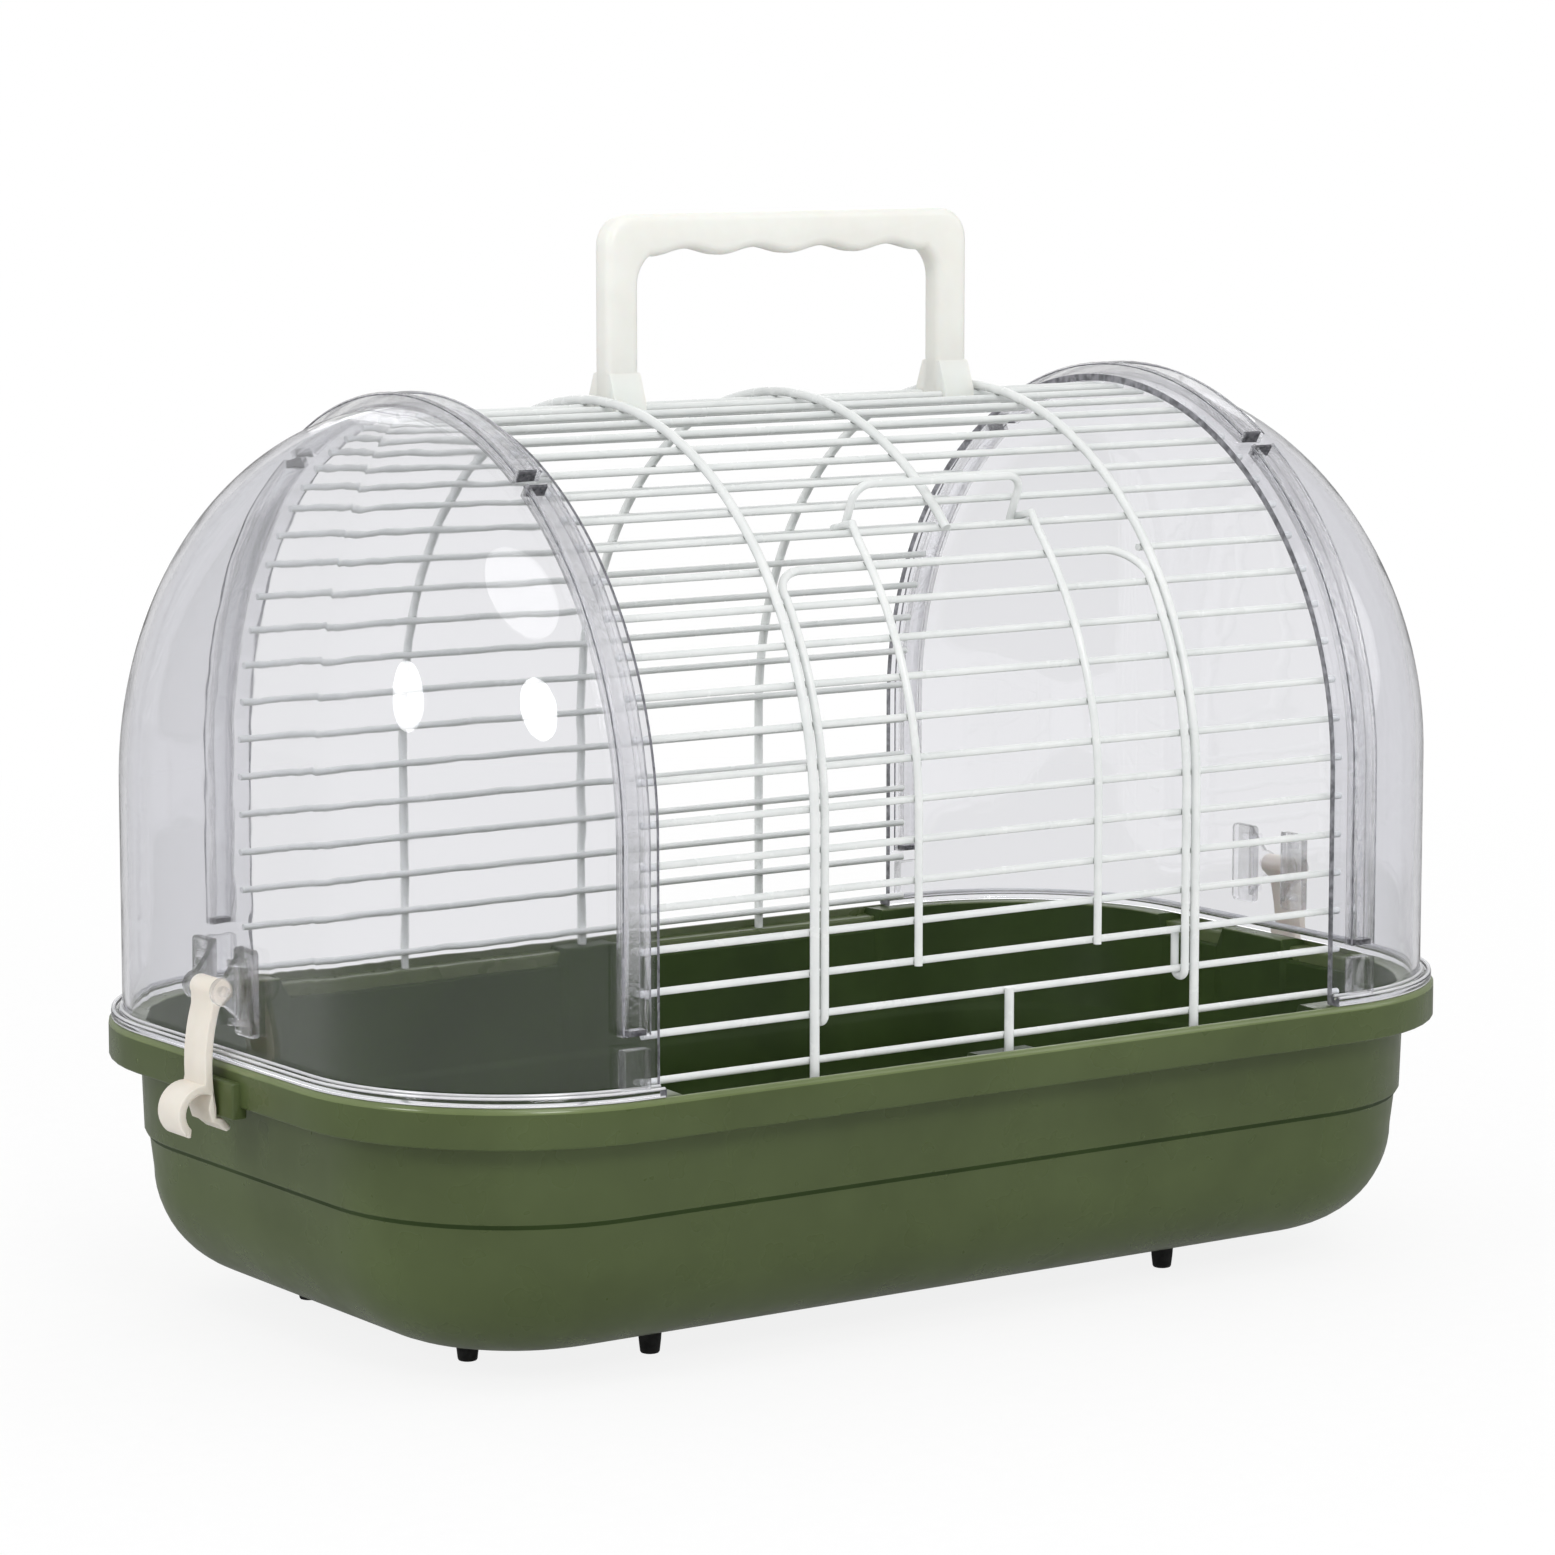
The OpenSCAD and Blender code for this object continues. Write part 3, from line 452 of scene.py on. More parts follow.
def tray_profile(where):
    """The tray's section, from the middle of its underside out to the skirt and back in to the floor."""
    wall = CORNER - WALL_IN
    knee = wall - DRAFT - STEP_W
    centre = (knee - DRAFT - TURN_R, FOOT_H + TURN_R)
    shoulder, skirt_in, skirt_low = RIM_TOP - RIM_T, CORNER - RIM_T, RIM_TOP - SKIRT
    rim = RIM_TOP - rim_drop(where)
    drop = max(0.02, RIM_TOP - rim)
    edge_r, lip_in_r, rim_r = 0.8, 0.5, 0.7
    # Underside, low wall, the step and the upper wall
    section = [(centre[0], FOOT_H)] + arc(centre, TURN_R, -84, 0, 14)
    section += [(knee, STEP_Z - 0.6), (knee + 0.15, STEP_Z - 0.1),
                (knee + STEP_W - 0.35, STEP_Z + STEP_W - 0.2), (knee + STEP_W, STEP_Z + STEP_W + 0.5),
                (wall, shoulder - edge_r)]
    # The skirt: under the rim, down its inside and up its outside to the lip
    section += arc((wall + edge_r, shoulder - edge_r), edge_r, 180, 90, 3)
    section += [(skirt_in - 0.5, shoulder), (skirt_in, shoulder - 0.5)]
    section += arc((skirt_in + edge_r, skirt_low + edge_r), edge_r, 180, 270, 3)
    section += arc((CORNER - edge_r, skirt_low + edge_r), edge_r, 270, 360, 3)
    section += arc((CORNER - LIP_R, RIM_TOP - LIP_R), LIP_R, 0, 90, 6)
    # The lip's inner edge, then the rim or the recess behind it
    section += arc((skirt_in + lip_in_r, RIM_TOP - lip_in_r), lip_in_r, 90, 180, 2)
    section += [(skirt_in, RIM_TOP - lip_in_r - 0.01 - max(0, drop - lip_in_r - 0.01)),
                (skirt_in - 0.3, rim - 0.04 - 0.3 * (drop < lip_in_r))]
    # Down the inside to the floor
    section += arc((wall - TRAY_T + rim_r, rim - rim_r - 0.05), rim_r, 90, 180, 3)
    inner_knee = knee - TRAY_T
    section += [(inner_knee + STEP_W, STEP_Z + STEP_W + 0.5),
                (inner_knee + STEP_W - 0.5, STEP_Z + STEP_W - 0.4),
                (inner_knee + 0.3, STEP_Z + 0.1), (inner_knee, STEP_Z - 0.6)]
    return section + arc(centre, TURN_R - TRAY_T, 0, -84, 14) + [(centre[0], FOOT_H + TRAY_T)]


def spots(*groups):
    """Places along a side, each once and in order."""
    return sorted({round(v, 3) for g in groups for v in g})


slope = RECESS / 2
recess_end, block_end, end_stop = RECESS_L / 2, BLOCK_L / 2 + slope, END_FROM + END_L
LONG_SPOTS = spots(
    [0, 3, 6, block_end - slope - 0.2, block_end - slope + BLOCK_DROP / 2, block_end - 0.3, block_end,
     block_end + 0.4], range(16, 104, 8),
    [recess_end - 0.4, recess_end, recess_end + 0.4, recess_end + slope - 0.3, recess_end + slope,
     recess_end + slope + 0.4, CORNER_X - 4, CORNER_X])
END_SPOTS = spots(
    [0, 6, END_FROM - slope - 0.4, END_FROM - slope, END_FROM - 0.3, END_FROM, END_FROM + 0.4, 24, 30, 36,
     end_stop - 0.4, end_stop, end_stop + 0.3, end_stop + slope])

tray_rings = ring_round(plan(LONG_SPOTS, END_SPOTS), tray_profile)
tray_shapes = [skin(tray_rings, closed=False, looped=True)]
for end in (0, -1):
    # The section's ends leave the underside and the floor open, and one face closes each
    tray_shapes.append(([ring[end] for ring in tray_rings], [tuple(range(len(tray_rings)))]))


def box_plate(x0, x1, y0, y1, z0, z1, fillet):
    """A block with all its edges rounded."""
    outline = rounded([(x0, z0), (x1, z0), (x1, z1), (x0, z1)], fillet)
    return plate(outline, y0, y1, fillet, lambda u, v, w: (u, w, v))


catch = box_plate(HALF_L - RIM_T + 0.1, CATCH_X, -CATCH_W / 2, CATCH_W / 2, CATCH_LOW, CATCH_LOW + CATCH_H,
                  fillet=0.7)
tray_shapes += [catch, mirrored(catch)]

# The tray's finishes: satin, painted shade, and the lip's painted highlight
SATIN, PAINTED_SHADE, LIP = 0, 1, 2


def tray_finish(p, n):
    """Satin outside, a painted highlight along the lip, and painted shade on the inside, the recess floors and
    the shaded slope of the step.
    """
    from_axis = math.hypot(max(0.0, abs(p.x) - CORNER_X), max(0.0, abs(p.y) - CORNER_Y))
    # The lip's edge takes the painted highlight
    if p.z > RIM_TOP - LIP_R and from_axis > CORNER - LIP_R - 0.1:
        return LIP
    if STEP_Z - 0.1 < p.z < STEP_Z + STEP_W and n.z < -0.4:
        return PAINTED_SHADE
    if from_axis > CORNER - RIM_T - 0.05:
        return SATIN
    if p.z > RIM_TOP - RECESS - 0.5 and n.z > 0.2:
        return SATIN if p.z > RIM_TOP - 0.3 else PAINTED_SHADE
    faces_in = n.z > 0.15 or (p.xy.normalized().dot(n.xy) < 0 and from_axis > 40)
    return PAINTED_SHADE if faces_in and p.z > FOOT_H + TRAY_T / 2 else SATIN


piece("tray_moulding", tray_shapes, GREEN, "carrier", "tray_green", ["tray"],
      other_finishes=(GREEN_PAINTED_SHADE, GREEN_PAINTED_HIGHLIGHT), pick=tray_finish)


def turned_round(section, place, steps):
    """A section of [radius, length] turned round its own axis, put in place by place(across, length, up)."""
    turns = [math.tau * i / steps for i in range(steps)]
    return skin([[place(r * math.cos(t), length, r * math.sin(t)) for r, length in section] for t in turns],
                closed=False, looped=True)


def foot(x, y):
    """A rubber stud: a short cone whose tread is rounded."""
    top = FOOT_H - 0.02
    section = [(0.01, 0.0), (2.0, 0.0), (2.45, 0.15), (2.7, 0.55), (3.05, 3.5), (3.4, top), (0.01, top)]
    return turned_round(section, lambda u, z, v: (x + u, y + v, z), 28)


FEET = [(sx * x, sy * y) for x, y in ((89, 64), (134, 43)) for sx in (-1, 1) for sy in (-1, 1)]
piece("rubber_feet", [foot(x, y) for x, y in FEET], RUBBER, "carrier", "feet_black", ["feet"])


# ---------------------------------------------------------------- domes

def dome_rows(levels, corner_steps=20):
    """Rows of points of a dome's face, from [inset, share, height]; the strip's edge is at each row's ends."""
    rows = []
    for inset_by, share, z in levels:
        r = CORNER - inset_by
        turns = [math.pi / 2 * i / corner_steps for i in range(corner_steps + 1)]
        half = [(r * math.sin(t), CORNER_Y + r * math.cos(t)) for t in turns]
        run = [(r, -CORNER_Y * (1 - i / 4)) for i in range(1, 8)]
        side_y = half[0][1]
        outline = ([(-STRIP_W, -side_y)] + [(x, -y) for x, y in half] + run + half[::-1]
                   + [(-STRIP_W, side_y)])
        rows.append([(CORNER_X + (share * x if x > 0 else x), share * y, z) for x, y in outline])
    return rows


def dome_levels(inset_by, off, wall_from, wall_steps=6, arch_steps=44):
    """Levels of a dome's wall, and of its arch up to the ridge of the roof."""
    wall = [(inset_by, 1.0, wall_from + (SPRING - wall_from) * i / wall_steps) for i in range(wall_steps + 1)]
    turns = [math.pi / 2 * i / arch_steps for i in range(1, arch_steps + 1)]
    return wall + [(inset_by, max(0.0, math.cos(t)), SPRING + (ARCH + off) * math.sin(t)) for t in turns]


def dome_moulding():
    """Dome, flange and strip as one shell: down the inside, out under the flange, and up over its steps."""
    inner_in, edge, top = DOME_IN + DOME_T, FLANGE_IN, FLANGE_TOP
    wall_from = top + 1.6
    outer = dome_levels(DOME_IN, DOME_OFF, wall_from)
    inner = dome_levels(inner_in, DOME_GAP, wall_from)[::-1] + [(inner_in, 1.0, RIM_TOP + 0.3)]
    # Under the flange, round its edge, over its groove, and up the fillet to the wall: [inset, height]
    steps = [(inner_in - 0.3, RIM_TOP), (edge + 0.5, RIM_TOP), (edge + 0.15, RIM_TOP + 0.15),
             (edge, RIM_TOP + 0.5), (edge, top - 0.5), (edge + 0.15, top - 0.15), (edge + 0.5, top),
             (edge + 1.0, top), (edge + 1.2, top - 0.15), (edge + 1.35, top - 0.75), (edge + 1.6, top - 0.9),
             (edge + 2.0, top - 0.9), (edge + 2.25, top - 0.75), (edge + 2.4, top - 0.1),
             (DOME_IN - 0.25, top + 0.1), (DOME_IN - 0.08, top + 0.5), (DOME_IN, top + 1.1)]
    rows = dome_rows(inner + [(r, 1.0, z) for r, z in steps] + outer)
    points, faces = skin(rows, closed=False, capped=False)
    # The edge towards the cage: the wall as strips from the outside to the inside, the flange as one face
    n, m, wall = len(rows[0]), len(rows), len(outer)
    for j in (0, n - 1):
        for k in range(wall - 1):
            faces.append((k * n + j, (k + 1) * n + j, (m - 2 - k) * n + j, (m - 1 - k) * n + j))
        faces.append(tuple(k * n + j for k in range(wall - 1, m - wall + 1)))
    return points, faces


def over_the_top(section, start_z, start_turn, end_turn, step=3.0):
    """A section of [offset, x] drawn up the back wall from start_z, or from a turn, over the arch to a turn."""
    def ring(turn, z=None):
        t = math.radians(turn)
        return [(x, (ARCH + off) * math.cos(t), z if z is not None else SPRING + (ARCH + off) * math.sin(t))
                for off, x in section]
    rings = [] if start_z is None else [ring(0, start_z + (SPRING - start_z) * i / 6) for i in range(6)]
    count = max(1, round((end_turn - start_turn) / step))
    rings += [ring(start_turn + (end_turn - start_turn) * i / count) for i in range(count + 1)]
    return skin(rings)


def both_sides_and_roof(section, foot_z, low, high):
    """A section drawn up the back and up the front to the turn low, and over the roof from high on."""
    side = over_the_top(section, foot_z, 0, low)
    return [side, mirrored(side, 1), over_the_top(section, None, high, 180 - high)]


def ridge_section(x, sunk):
    """A ridge with a rounded crown, sunk a little in the wall that carries it."""
    half, foot, crown_r = RIDGE_T / 2, DOME_OFF - sunk, 0.7
    top = DOME_OFF + RIDGE_H - crown_r
    crown = [(top + crown_r * math.sin(t), x + half * math.cos(t)) for t in (math.pi * i / 6 for i in range(7))]
    return [(foot, x + half)] + crown + [(foot, x - half)]


def dome_ridges():
    """The two ridges, up both sides and over the roof, and the block under their feet."""
    shapes = []
    for section in (ridge_section(CORNER_X, 0.2), ridge_section(FAR_RIDGE - RIDGE_T / 2, 0.6)):
        shapes += both_sides_and_roof(section, RIDGE_FOOT, BREAK_LOW, BREAK_HIGH)
    near, low, top = CORNER_X - RIDGE_T / 2, ARCH + DOME_OFF - 0.5, ARCH + DOME_OFF + RIDGE_H
    outline = rounded([(near, low), (FAR_RIDGE, low), (FAR_RIDGE, top), (near, top)], 0.6)
    block = plate(outline, FLANGE_TOP + 0.02, FLANGE_TOP + PAD_H, 0.5, lambda u, v, w: (u, v, w))
    return shapes + [block, mirrored(block, 1)]


def ridge_ends():
    """The webs that close the channel at the break and at its foot, in painted shade."""
    web_turn, gap_turn, foot_z = math.degrees(0.9 / ARCH), 0.05, RIDGE_FOOT + 0.1
    near, far = CORNER_X + 0.7, FAR_RIDGE - RIDGE_T + 0.05
    low, top = DOME_OFF - 0.3, DOME_OFF + RIDGE_H - 0.4
    web = [(low, near), (top, near), (top, far), (low, far)]
    ends = [over_the_top(web, None, BREAK_LOW - web_turn, BREAK_LOW - gap_turn),
            over_the_top(web, None, BREAK_HIGH + gap_turn, BREAK_HIGH + web_turn),
            skin([[(x, ARCH + off, z) for off, x in web] for z in (foot_z, foot_z + RIDGE_T)])]
    return ends + [mirrored(shape, 1) for shape in ends]


def ridge_lines():
    """Fine square lines of painted shade along the outer corners of the two ridges."""
    middle, half = DOME_OFF + RIDGE_H - 0.75, 0.17
    shapes = []
    for x in (CORNER_X - RIDGE_T / 2, FAR_RIDGE):
        section = [(middle - half, x - half), (middle + half, x - half), (middle + half, x + half),
                   (middle - half, x + half)]
        shapes += both_sides_and_roof(section, RIDGE_FOOT, BREAK_LOW, BREAK_HIGH)
    return shapes


def flange_beads():
    """Three fine beads round the flange, as lines of painted highlight: on its edge, at the foot of the dome's
    wall, and low on its side.
    """
    seam = CORNER_X - STRIP_W + 0.3
    stations = [(Vector((seam, -CORNER_Y)), Vector((0, -1)))]
    for y, quarter in ((-CORNER_Y, 0), (CORNER_Y, 1)):
        stations += [(Vector((CORNER_X, y)), Vector((math.sin(t), -math.cos(t))))
                     for t in (math.pi / 2 * (quarter + i / 20) for i in range(21))]
    stations.append((Vector((seam, CORNER_Y)), Vector((0, 1))))
    shapes = []
    for out, z, r in ((CORNER - FLANGE_IN - 0.5, FLANGE_TOP - 0.12, 0.42),
                      (CORNER - DOME_IN + 0.45, FLANGE_TOP + 0.25, 0.45),
                      (CORNER - FLANGE_IN - 0.25, RIM_TOP + 0.35, 0.28)):
        circle = [(out + r * math.cos(a), z + r * math.sin(a)) for a in (math.tau * k / 8 for k in range(8))]
        shapes.append(skin([[(axis.x + n.x * u, axis.y + n.y * u, v) for u, v in circle]
                            for axis, n in stations]))
    return shapes


def channel_floor():
    """The pebbled floor of the channel between the ridges."""
    inner, outer = CORNER_X + RIDGE_T / 2 + 0.05, FAR_RIDGE - RIDGE_T - 0.05
    low, top, short = DOME_OFF + 0.03, DOME_OFF + 0.35, 0.9
    section = [(low, inner), (top, inner), (top, outer), (low, outer)]
    return both_sides_and_roof(section, RIDGE_FOOT + RIDGE_T, BREAK_LOW - short, BREAK_HIGH + short)


def ears():
    """Two clear ears, each with a foot that spreads on the dome's end wall and two small braces."""
    inner, nose, low = LATCH_W / 2 + EAR_GAP, PIN_D / 2 + EAR_T, PIN_Z - EAR_H / 2
    outer, foot_x, face = inner + EAR_T, DOME_X - 0.4, DOME_X + DOME_T
    cheek = [(foot_x, low + EAR_T)] + arc((PIN_X, PIN_Z), nose, -90, 90, 10) + [(foot_x, low + EAR_H)]
    wing = rounded([(inner, low), (outer + WING_W, low), (outer + WING_W, low + EAR_H),
                    (inner, low + EAR_H)], 1.5)
    brace = [(face - 0.3, outer - 0.2), (face + 3.2, outer - 0.2), (face - 0.3, outer + 5.0)]
    shapes = []
    for sign in (-1, 1):
        shapes.append(plate(cheek, 0, EAR_T, 0.5, lambda u, v, w: (u, sign * (inner + w), v)))
        shapes.append(plate(wing, foot_x, face, 0.6, lambda u, v, w: (w, sign * u, v)))
        for z in (low + 3.0, low + EAR_H - 5.0):
            shapes.append(plate(brace, z, z + 2.0, 0.3, lambda u, v, w: (u, sign * v, w)))
    return shapes


def pin():
    """The latch's pin, from cheek to cheek, with its ends rounded off."""
    half, r, bevel = LATCH_W / 2 + EAR_GAP + EAR_T, PIN_D / 2, 0.3
    section = [(0.01, -half), (r - bevel, -half), (r, -half + bevel), (r, half - bevel), (r - bevel, half),
               (0.01, half)]
    return turned_round(section, lambda u, y, v: (PIN_X + u, y, PIN_Z + v), 24)


def strap_at(radius, z):
    """A point of the strap's curve, which is centred 1 mm under the rim."""
    middle_z = RIM_TOP - 1
    middle_x = PIN_X - math.sqrt(STRAP_R ** 2 - (PIN_Z - middle_z) ** 2)
    return middle_x + radius * math.cos(math.asin((z - middle_z) / radius)), z


def latch_outline():
    """The latch seen from its edge: hook under the catch, finger tab, bowed strap and knuckle."""
    low, half = CATCH_LOW - 0.3, STRAP_T / 2
    bend, tip = low + 2.6, CATCH_X - 3.4
    mid = strap_at(STRAP_R, low)[0]
    tab = (mid + TAB_R / 2, CATCH_LOW + half)
    heights = [bend + (PIN_Z - 4.5 - bend) * i / 14 for i in range(15)]
    outline = [(tip, low - 2.9), (tip + 0.25, low - 3.7), (tip + 1.2, low - 4.0), (mid - 1.2, low - 2.0),
               (mid + 0.6, low - half), (mid + half + 0.1, low + 1.0), (mid + half + 0.5, bend)]
    # The tab: along its inside, round its tip and back along its outside
    outline += arc(tab, TAB_R - half, 118, -46, 12)
    tip_turn = -0.86
    tab_tip = (tab[0] + TAB_R * math.cos(tip_turn), tab[1] + TAB_R * math.sin(tip_turn))
    outline += arc(tab_tip, half, -139, 41, 6)[1:-1] + arc(tab, TAB_R + half, -46, 92, 14)
    outline += [strap_at(STRAP_R + half, z) for z in heights if z > tab[1] + TAB_R + half - 0.2]
    outline += arc((PIN_X, PIN_Z), KNUCKLE_R, -28, 208, 16)
    outline += [strap_at(STRAP_R - half, z) for z in heights[::-1]]
    return outline + [(mid - 0.6, low - 0.2), (CATCH_X - half, low - 0.35)]


def latch():
    return plate(latch_outline(), -LATCH_W / 2, LATCH_W / 2, 0.45, lambda u, v, w: (u, w, v))


def dome_finish(p, n):
    """The cut edge towards the cage takes a grey line of painted shade, and the rest is clear."""
    return 1 if abs(n.x) > 0.9 and abs(p.x) < CORNER_X - STRIP_W + 0.2 else 0


for side in ("right", "left"):
    def on_side(shapes):
        return shapes if side == "right" else [mirrored(shape) for shape in shapes]

    clear = ("carrier", "clear_plastic")
    piece("clear_dome_" + side, on_side([dome_moulding()]), CLEAR, *clear, ["dome_" + side], sharp=50,
          other_finishes=(GREY_LINE,), pick=dome_finish)
    piece("dome_ridges_" + side, on_side(dome_ridges()), RIPPLED, *clear, ["dome_edge_" + side])
    piece("dome_channel_" + side, on_side(channel_floor()), PEBBLED, *clear)
    piece("dome_ridge_ends_" + side, on_side(ridge_ends()), BLIND_END, *clear)
    piece("dome_ridge_lines_" + side, on_side(ridge_lines()), GREY_LINE, *clear)
    piece("dome_flange_beads_" + side, on_side(flange_beads()), LIT_EDGE, *clear)
    piece("latch_ears_" + side + "_look", on_side(ears()), THICK, *clear, ["latch_ears_" + side])
    piece("latch_pin_" + side + "_look", on_side([pin()]), THICK, *clear, ["latch_pin_" + side])
    piece("latch_" + side + "_look", on_side([latch()]), CREAM, "latch_" + side, "latch_cream",
          ["latch_" + side])


# ---------------------------------------------------------------- handle

ridge_turn = math.pi / 2 - 0.5 * ROOF_PITCH / ARCH
RIDGE_WIRE = (ARCH * math.cos(ridge_turn), SPRING + ARCH * math.sin(ridge_turn))
CLIP_LOW, CLIP_TOP = (RIDGE_WIRE[1] + side * (WIRE_D / 2 + CLIP_LIP) for side in (-1, 1))


def handle_outline():
    """The handle from the front: two legs, round corners and a row of finger hollows."""
    half, inner, top = HANDLE_L / 2 - END_LOOK, HANDLE_L / 2 - LEG_LOOK, ROOF_TOP + HANDLE_H
    under_grip, wave = top - GRIP_H, inner - GRIP_R / 2

    def hollow(x):
        return under_grip - BUMP_H / 2 * (1 + math.cos(math.tau * HOLLOWS * (x + wave) / (2 * wave)))

    corner = arc((-inner + GRIP_R, under_grip - GRIP_R), GRIP_R, 180, 90, 10)
    left = [(x, min(z, hollow(x))) if x > -wave else (x, z) for x, z in corner]
    run = inner - GRIP_R
    hollows = [(x, hollow(x)) for x in (-run + 2 * run * i / 64 for i in range(1, 64))]
    inside = left + hollows + [(-x, z) for x, z in left[::-1]]
    outside = arc((half - HANDLE_R, top - HANDLE_R), HANDLE_R, 0, 90, 8)
    outside += [(-x, z) for x, z in outside[::-1]]
    return [(-half, CLIP_LOW), (-inner, CLIP_LOW)] + inside + [(inner, CLIP_LOW), (half, CLIP_LOW)] + outside


def handle_foot(start, end):
    """A leg's foot, which spreads and clips over the two ridge wires."""
    y, z = RIDGE_WIRE
    wide, thin, top = CLIP_LOOK / 2, GRIP_LOOK / 2, ROOF_TOP + FLARE_H
    mouth, groove_r = 0.8, WIRE_D / 2 + 0.05
    grooves = [p for side in (-1, 1) for p in [(side * y - mouth, CLIP_LOW)]
               + arc((side * y, z), groove_r, 230, -50, 10) + [(side * y + mouth, CLIP_LOW)]]
    right = [(wide, CLIP_LOW), (wide, CLIP_TOP), (thin + 0.6, top - 1.2), (thin, top)]
    left = [(-u, v) for u, v in right[::-1]]
    return plate(left[-1:] + grooves + right + left[:-1], start, end, 0.2, lambda u, v, w: (w, u, v), steps=2)


grip = plate(handle_outline(), -GRIP_LOOK / 2, GRIP_LOOK / 2, 2.4, lambda u, v, w: (u, -w, v), steps=5)
foot_end, foot_start = HANDLE_L / 2 - END_LOOK - 0.1, HANDLE_L / 2 - LEG_LOOK + 0.1
feet = [handle_foot(-foot_end, -foot_start), handle_foot(foot_start, foot_end)]
piece("carry_handle", [grip] + feet, WAXY, "carrier", "handle_white", ["handle"])


# ---------------------------------------------------------------- weld spots

def bead(x, along, back, off):
    """A squashed drop of metal where two wires are welded, at a length along the arch from the table."""
    wide, thick = 0.95, 0.75
    turn = max(0.0, (along - SPRING) / ARCH)
    y, z = (ARCH + off) * math.cos(turn), min(along, SPRING) + (ARCH + off) * math.sin(turn)
    sign = 1 if back else -1
    rings = []
    for lat in (math.pi * i / 5 - math.pi / 2 for i in range(1, 5)):
        ring, out = [], thick * math.sin(lat)
        for lon in (math.tau * k / 10 for k in range(10)):
            a, b = wide * math.cos(lat) * math.cos(lon), wide * math.cos(lat) * math.sin(lon)
            ring.append((x + a, sign * (y + out * math.cos(turn) - b * math.sin(turn)),
                         z + out * math.sin(turn) + b * math.cos(turn)))
        rings.append(ring)
    return skin(rings)


door_rows = [HINGE_WIRE + PITCH * i for i in range(1, DOOR_COUNT + 1)]
roof_rows = [HEADER + ROOF_PITCH * i for i in range(ROOF_COUNT)]
all_rows = [LOW_WIRE, HINGE_WIRE] + door_rows + roof_rows
fixed_spots = [(x, row, False) for x in (-RIB_X, RIB_X) for row in all_rows]
fixed_spots += [(x, row, True) for x in (-RIB_X, 0, RIB_X) for row in all_rows]
fixed_spots += [(0, row, False) for row in roof_rows + [LOW_WIRE, HINGE_WIRE]]
door_spots = [(x, row, False) for x in (-UPRIGHT_X, UPRIGHT_X) for row in door_rows]
door_spots += [(x, row, False) for x in (-FRAME_X, FRAME_X) for row in door_rows[:-1]]
piece("cage_welds", [bead(*spot, 1.15) for spot in fixed_spots], WELD, "carrier", "wire_white", sharp=80)
piece("door_welds", [bead(*spot, 1.05) for spot in door_spots], WELD, "door", "wire_white", sharp=80)


# ---------------------------------------------------------------- the CAD's own wires, in enamel

FINISHES = {"wire_white": ENAMEL, "handle_white": WAXY, "latch_cream": CREAM, "clear_plastic": RIPPLED,
            "feet_black": RUBBER, "tray_green": GREEN}
for part in frame["record"]["subparts"]:
    for held in frame["nodes"][part["node"]].material_slots:
        held.material = FINISHES[part["material_slot"]]


# ---------------------------------------------------------------- floor, light and camera

floor_mesh = bpy.data.meshes.new("studio_floor")
floor_mesh.from_pydata([(-6, -6, 0), (6, -6, 0), (6, 6, 0), (-6, 6, 0)], [], [(0, 1, 2, 3)])
floor_mesh.materials.append(PAPER)
studio_floor = bpy.data.objects.new("studio_floor", floor_mesh)
bpy.context.scene.collection.objects.link(studio_floor)

world = bpy.data.worlds.new("soft_studio")
bpy.context.scene.world = world
world.use_nodes = True
sky = world.node_tree
sky.nodes.clear()
path = add(sky, "LightPath")
seen = add(sky, "Math", {0: path.outputs["Is Camera Ray"], 1: path.outputs["Is Transmission Ray"]},
           operation="ADD", use_clamp=True)
# Light comes from a bright ceiling and back wall, and less from in front; gloss sees all of it dimmer
heading = add(sky, "SeparateXYZ", {0: add(sky, "TexCoord").outputs["Generated"]})
lift = add(sky, "Math", {0: heading.outputs["Y"], 1: heading.outputs["Z"]}, operation="ADD")
room = between(sky, lift.outputs[0], 0.17, 0.85, at=(-0.9, 0.9))
held_back = between(sky, path.outputs["Is Glossy Ray"], 1.0, 0.5, at=(0, 1))
room = add(sky, "Math", {0: room, 1: held_back}, operation="MULTIPLY").outputs[0]
dim = add(sky, "Background", {"Color": linear("FFFFFF"), "Strength": room})
white = add(sky, "Background", {"Color": linear("FFFFFF"), "Strength": 1.0})
mix = add(sky, "MixShader", {0: seen.outputs[0], 1: dim.outputs[0], 2: white.outputs[0]})
add(sky, "OutputWorld", {"Surface": mix.outputs[0]})


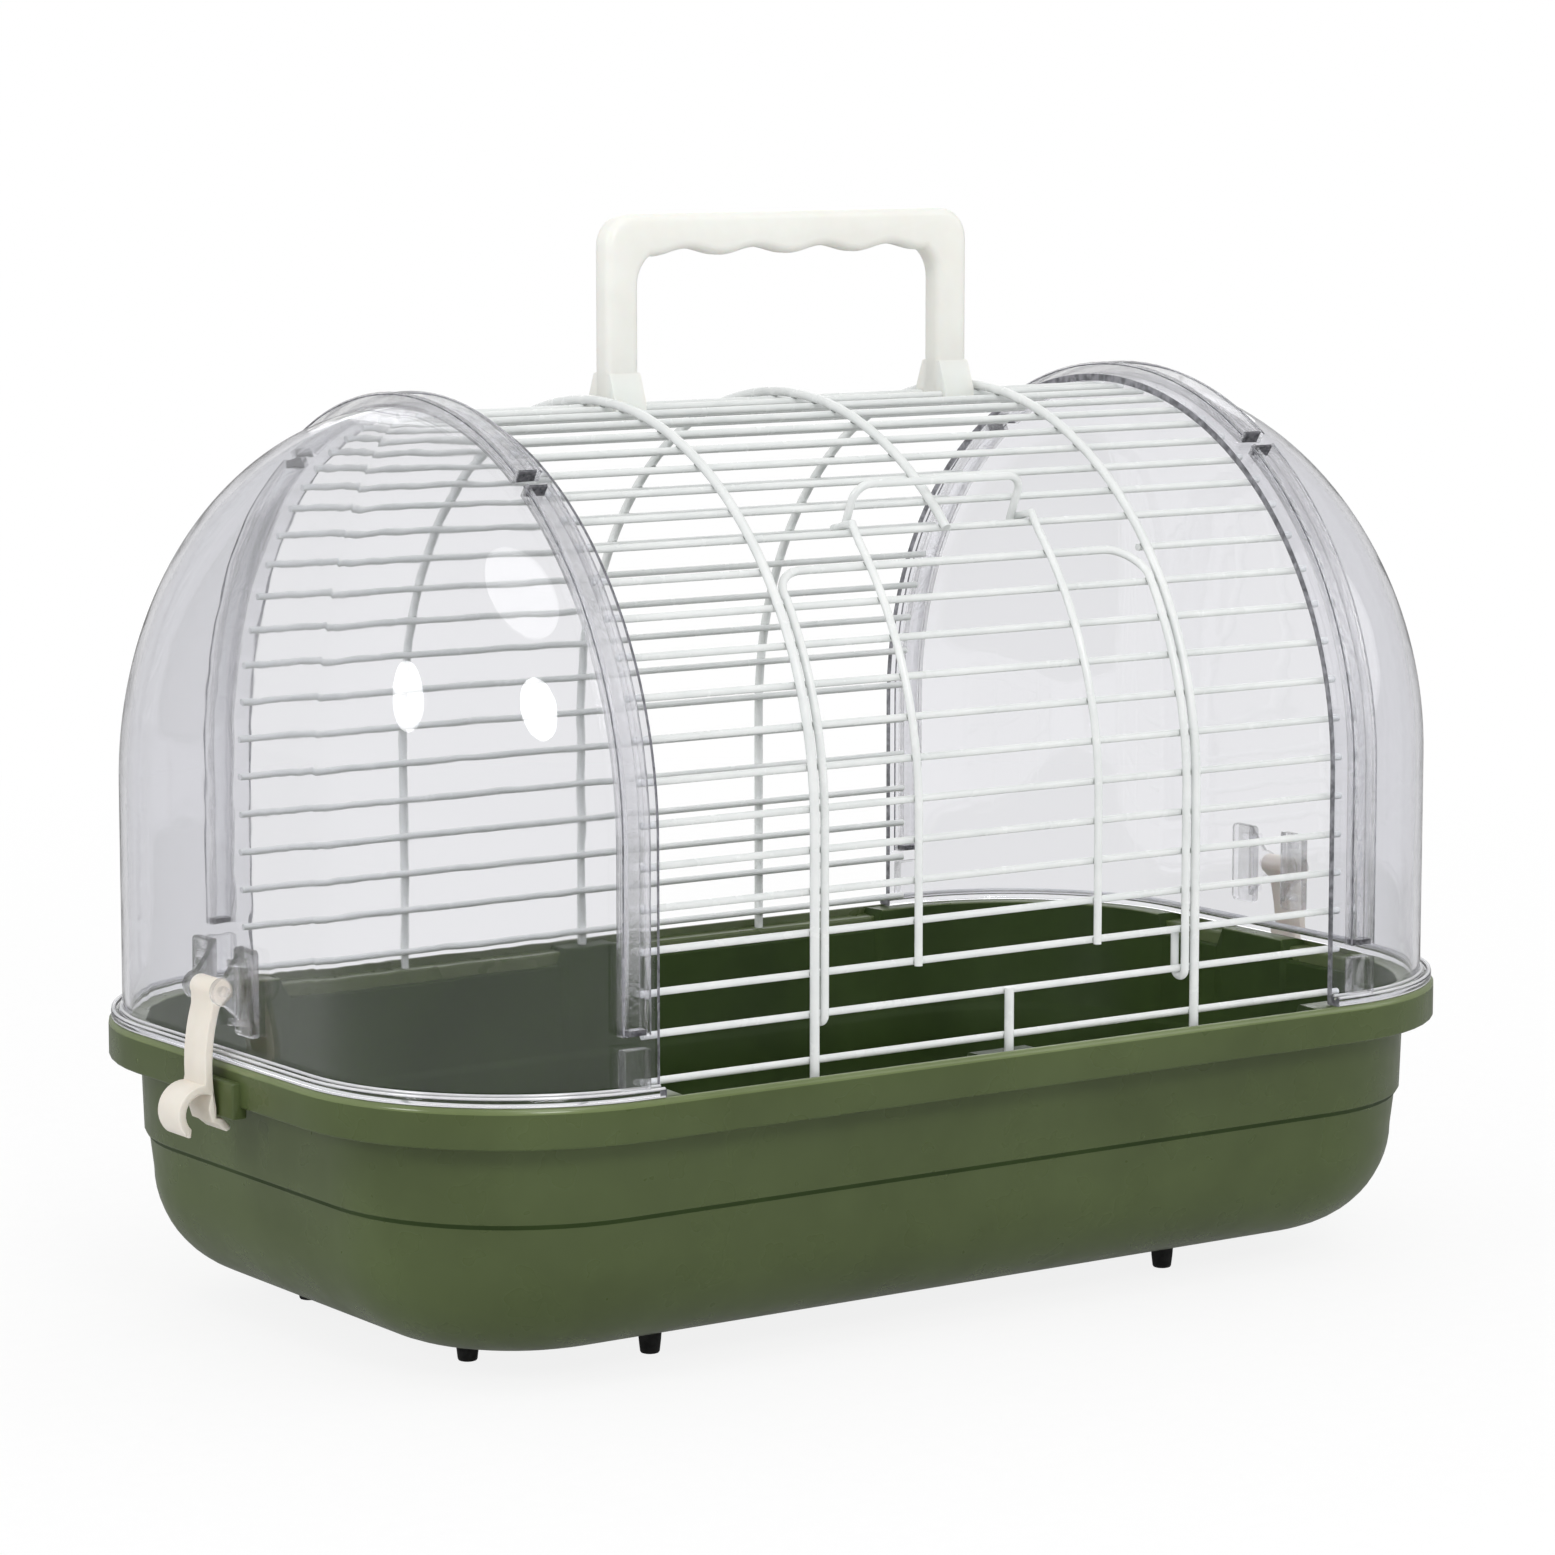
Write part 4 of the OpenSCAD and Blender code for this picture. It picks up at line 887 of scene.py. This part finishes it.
def softbox(name, place, aim, size, watts):
    """A round soft lamp at a place, aimed at a point; both in metres."""
    lamp = bpy.data.lights.new(name, "AREA")
    lamp.shape, lamp.size, lamp.energy = "DISK", size, watts
    obj = bpy.data.objects.new(name, lamp)
    bpy.context.scene.collection.objects.link(obj)
    obj.location = place
    obj.rotation_euler = (Vector(aim) - Vector(place)).to_track_quat("-Z", "Y").to_euler()


# Three round softboxes, in the directions of the highlights on the left dome, and two weak wide ones
DOME_MIDDLE, LAMP_AWAY = Vector((-0.15, -0.05, 0.19)), 1.7
for name, heading, size, watts in (("side_softbox", (-0.919, -0.043, 0.392), 0.48, 5.0),
                                   ("front_softbox", (-0.208, -0.845, 0.491), 0.52, 7.0),
                                   ("high_softbox", (-0.015, -0.433, 0.900), 0.90, 4.0)):
    softbox(name, DOME_MIDDLE + Vector(heading) * LAMP_AWAY, DOME_MIDDLE, size, watts)
softbox("fill_softbox", (1.3, -0.9, 0.8), (0, 0, 0.14), 1.2, 4)
softbox("back_softbox", (0.9, 1.3, 0.9), (0, 0, 0.1), 1.3, 4)

# The camera as fitted to the photograph: its turn and rise round the aim in radians, its distance in mm
TURN, RISE, DISTANCE = -0.608, 0.1326, 1510.8
FOCAL_PX, CENTRE_PX, IMAGE_PX = 5264.0, (784.4, 754.0), 1555
AIM = Vector((0, 0, 150)) * MM
towards = Vector((math.sin(TURN) * math.cos(RISE), -math.cos(TURN) * math.cos(RISE), math.sin(RISE)))
lens = bpy.data.cameras.new("photo_camera")
lens.sensor_width = 36.0
lens.lens = FOCAL_PX / IMAGE_PX * lens.sensor_width
lens.shift_x = (IMAGE_PX / 2 - CENTRE_PX[0]) / IMAGE_PX
lens.shift_y = (CENTRE_PX[1] - IMAGE_PX / 2) / IMAGE_PX
camera = bpy.data.objects.new("photo_camera", lens)
bpy.context.scene.collection.objects.link(camera)
camera.location = AIM + towards * DISTANCE * MM
camera.rotation_euler = (-towards).to_track_quat("-Z", "Y").to_euler()
bpy.context.scene.camera = camera
bpy.context.scene.view_settings.view_transform = "Standard"
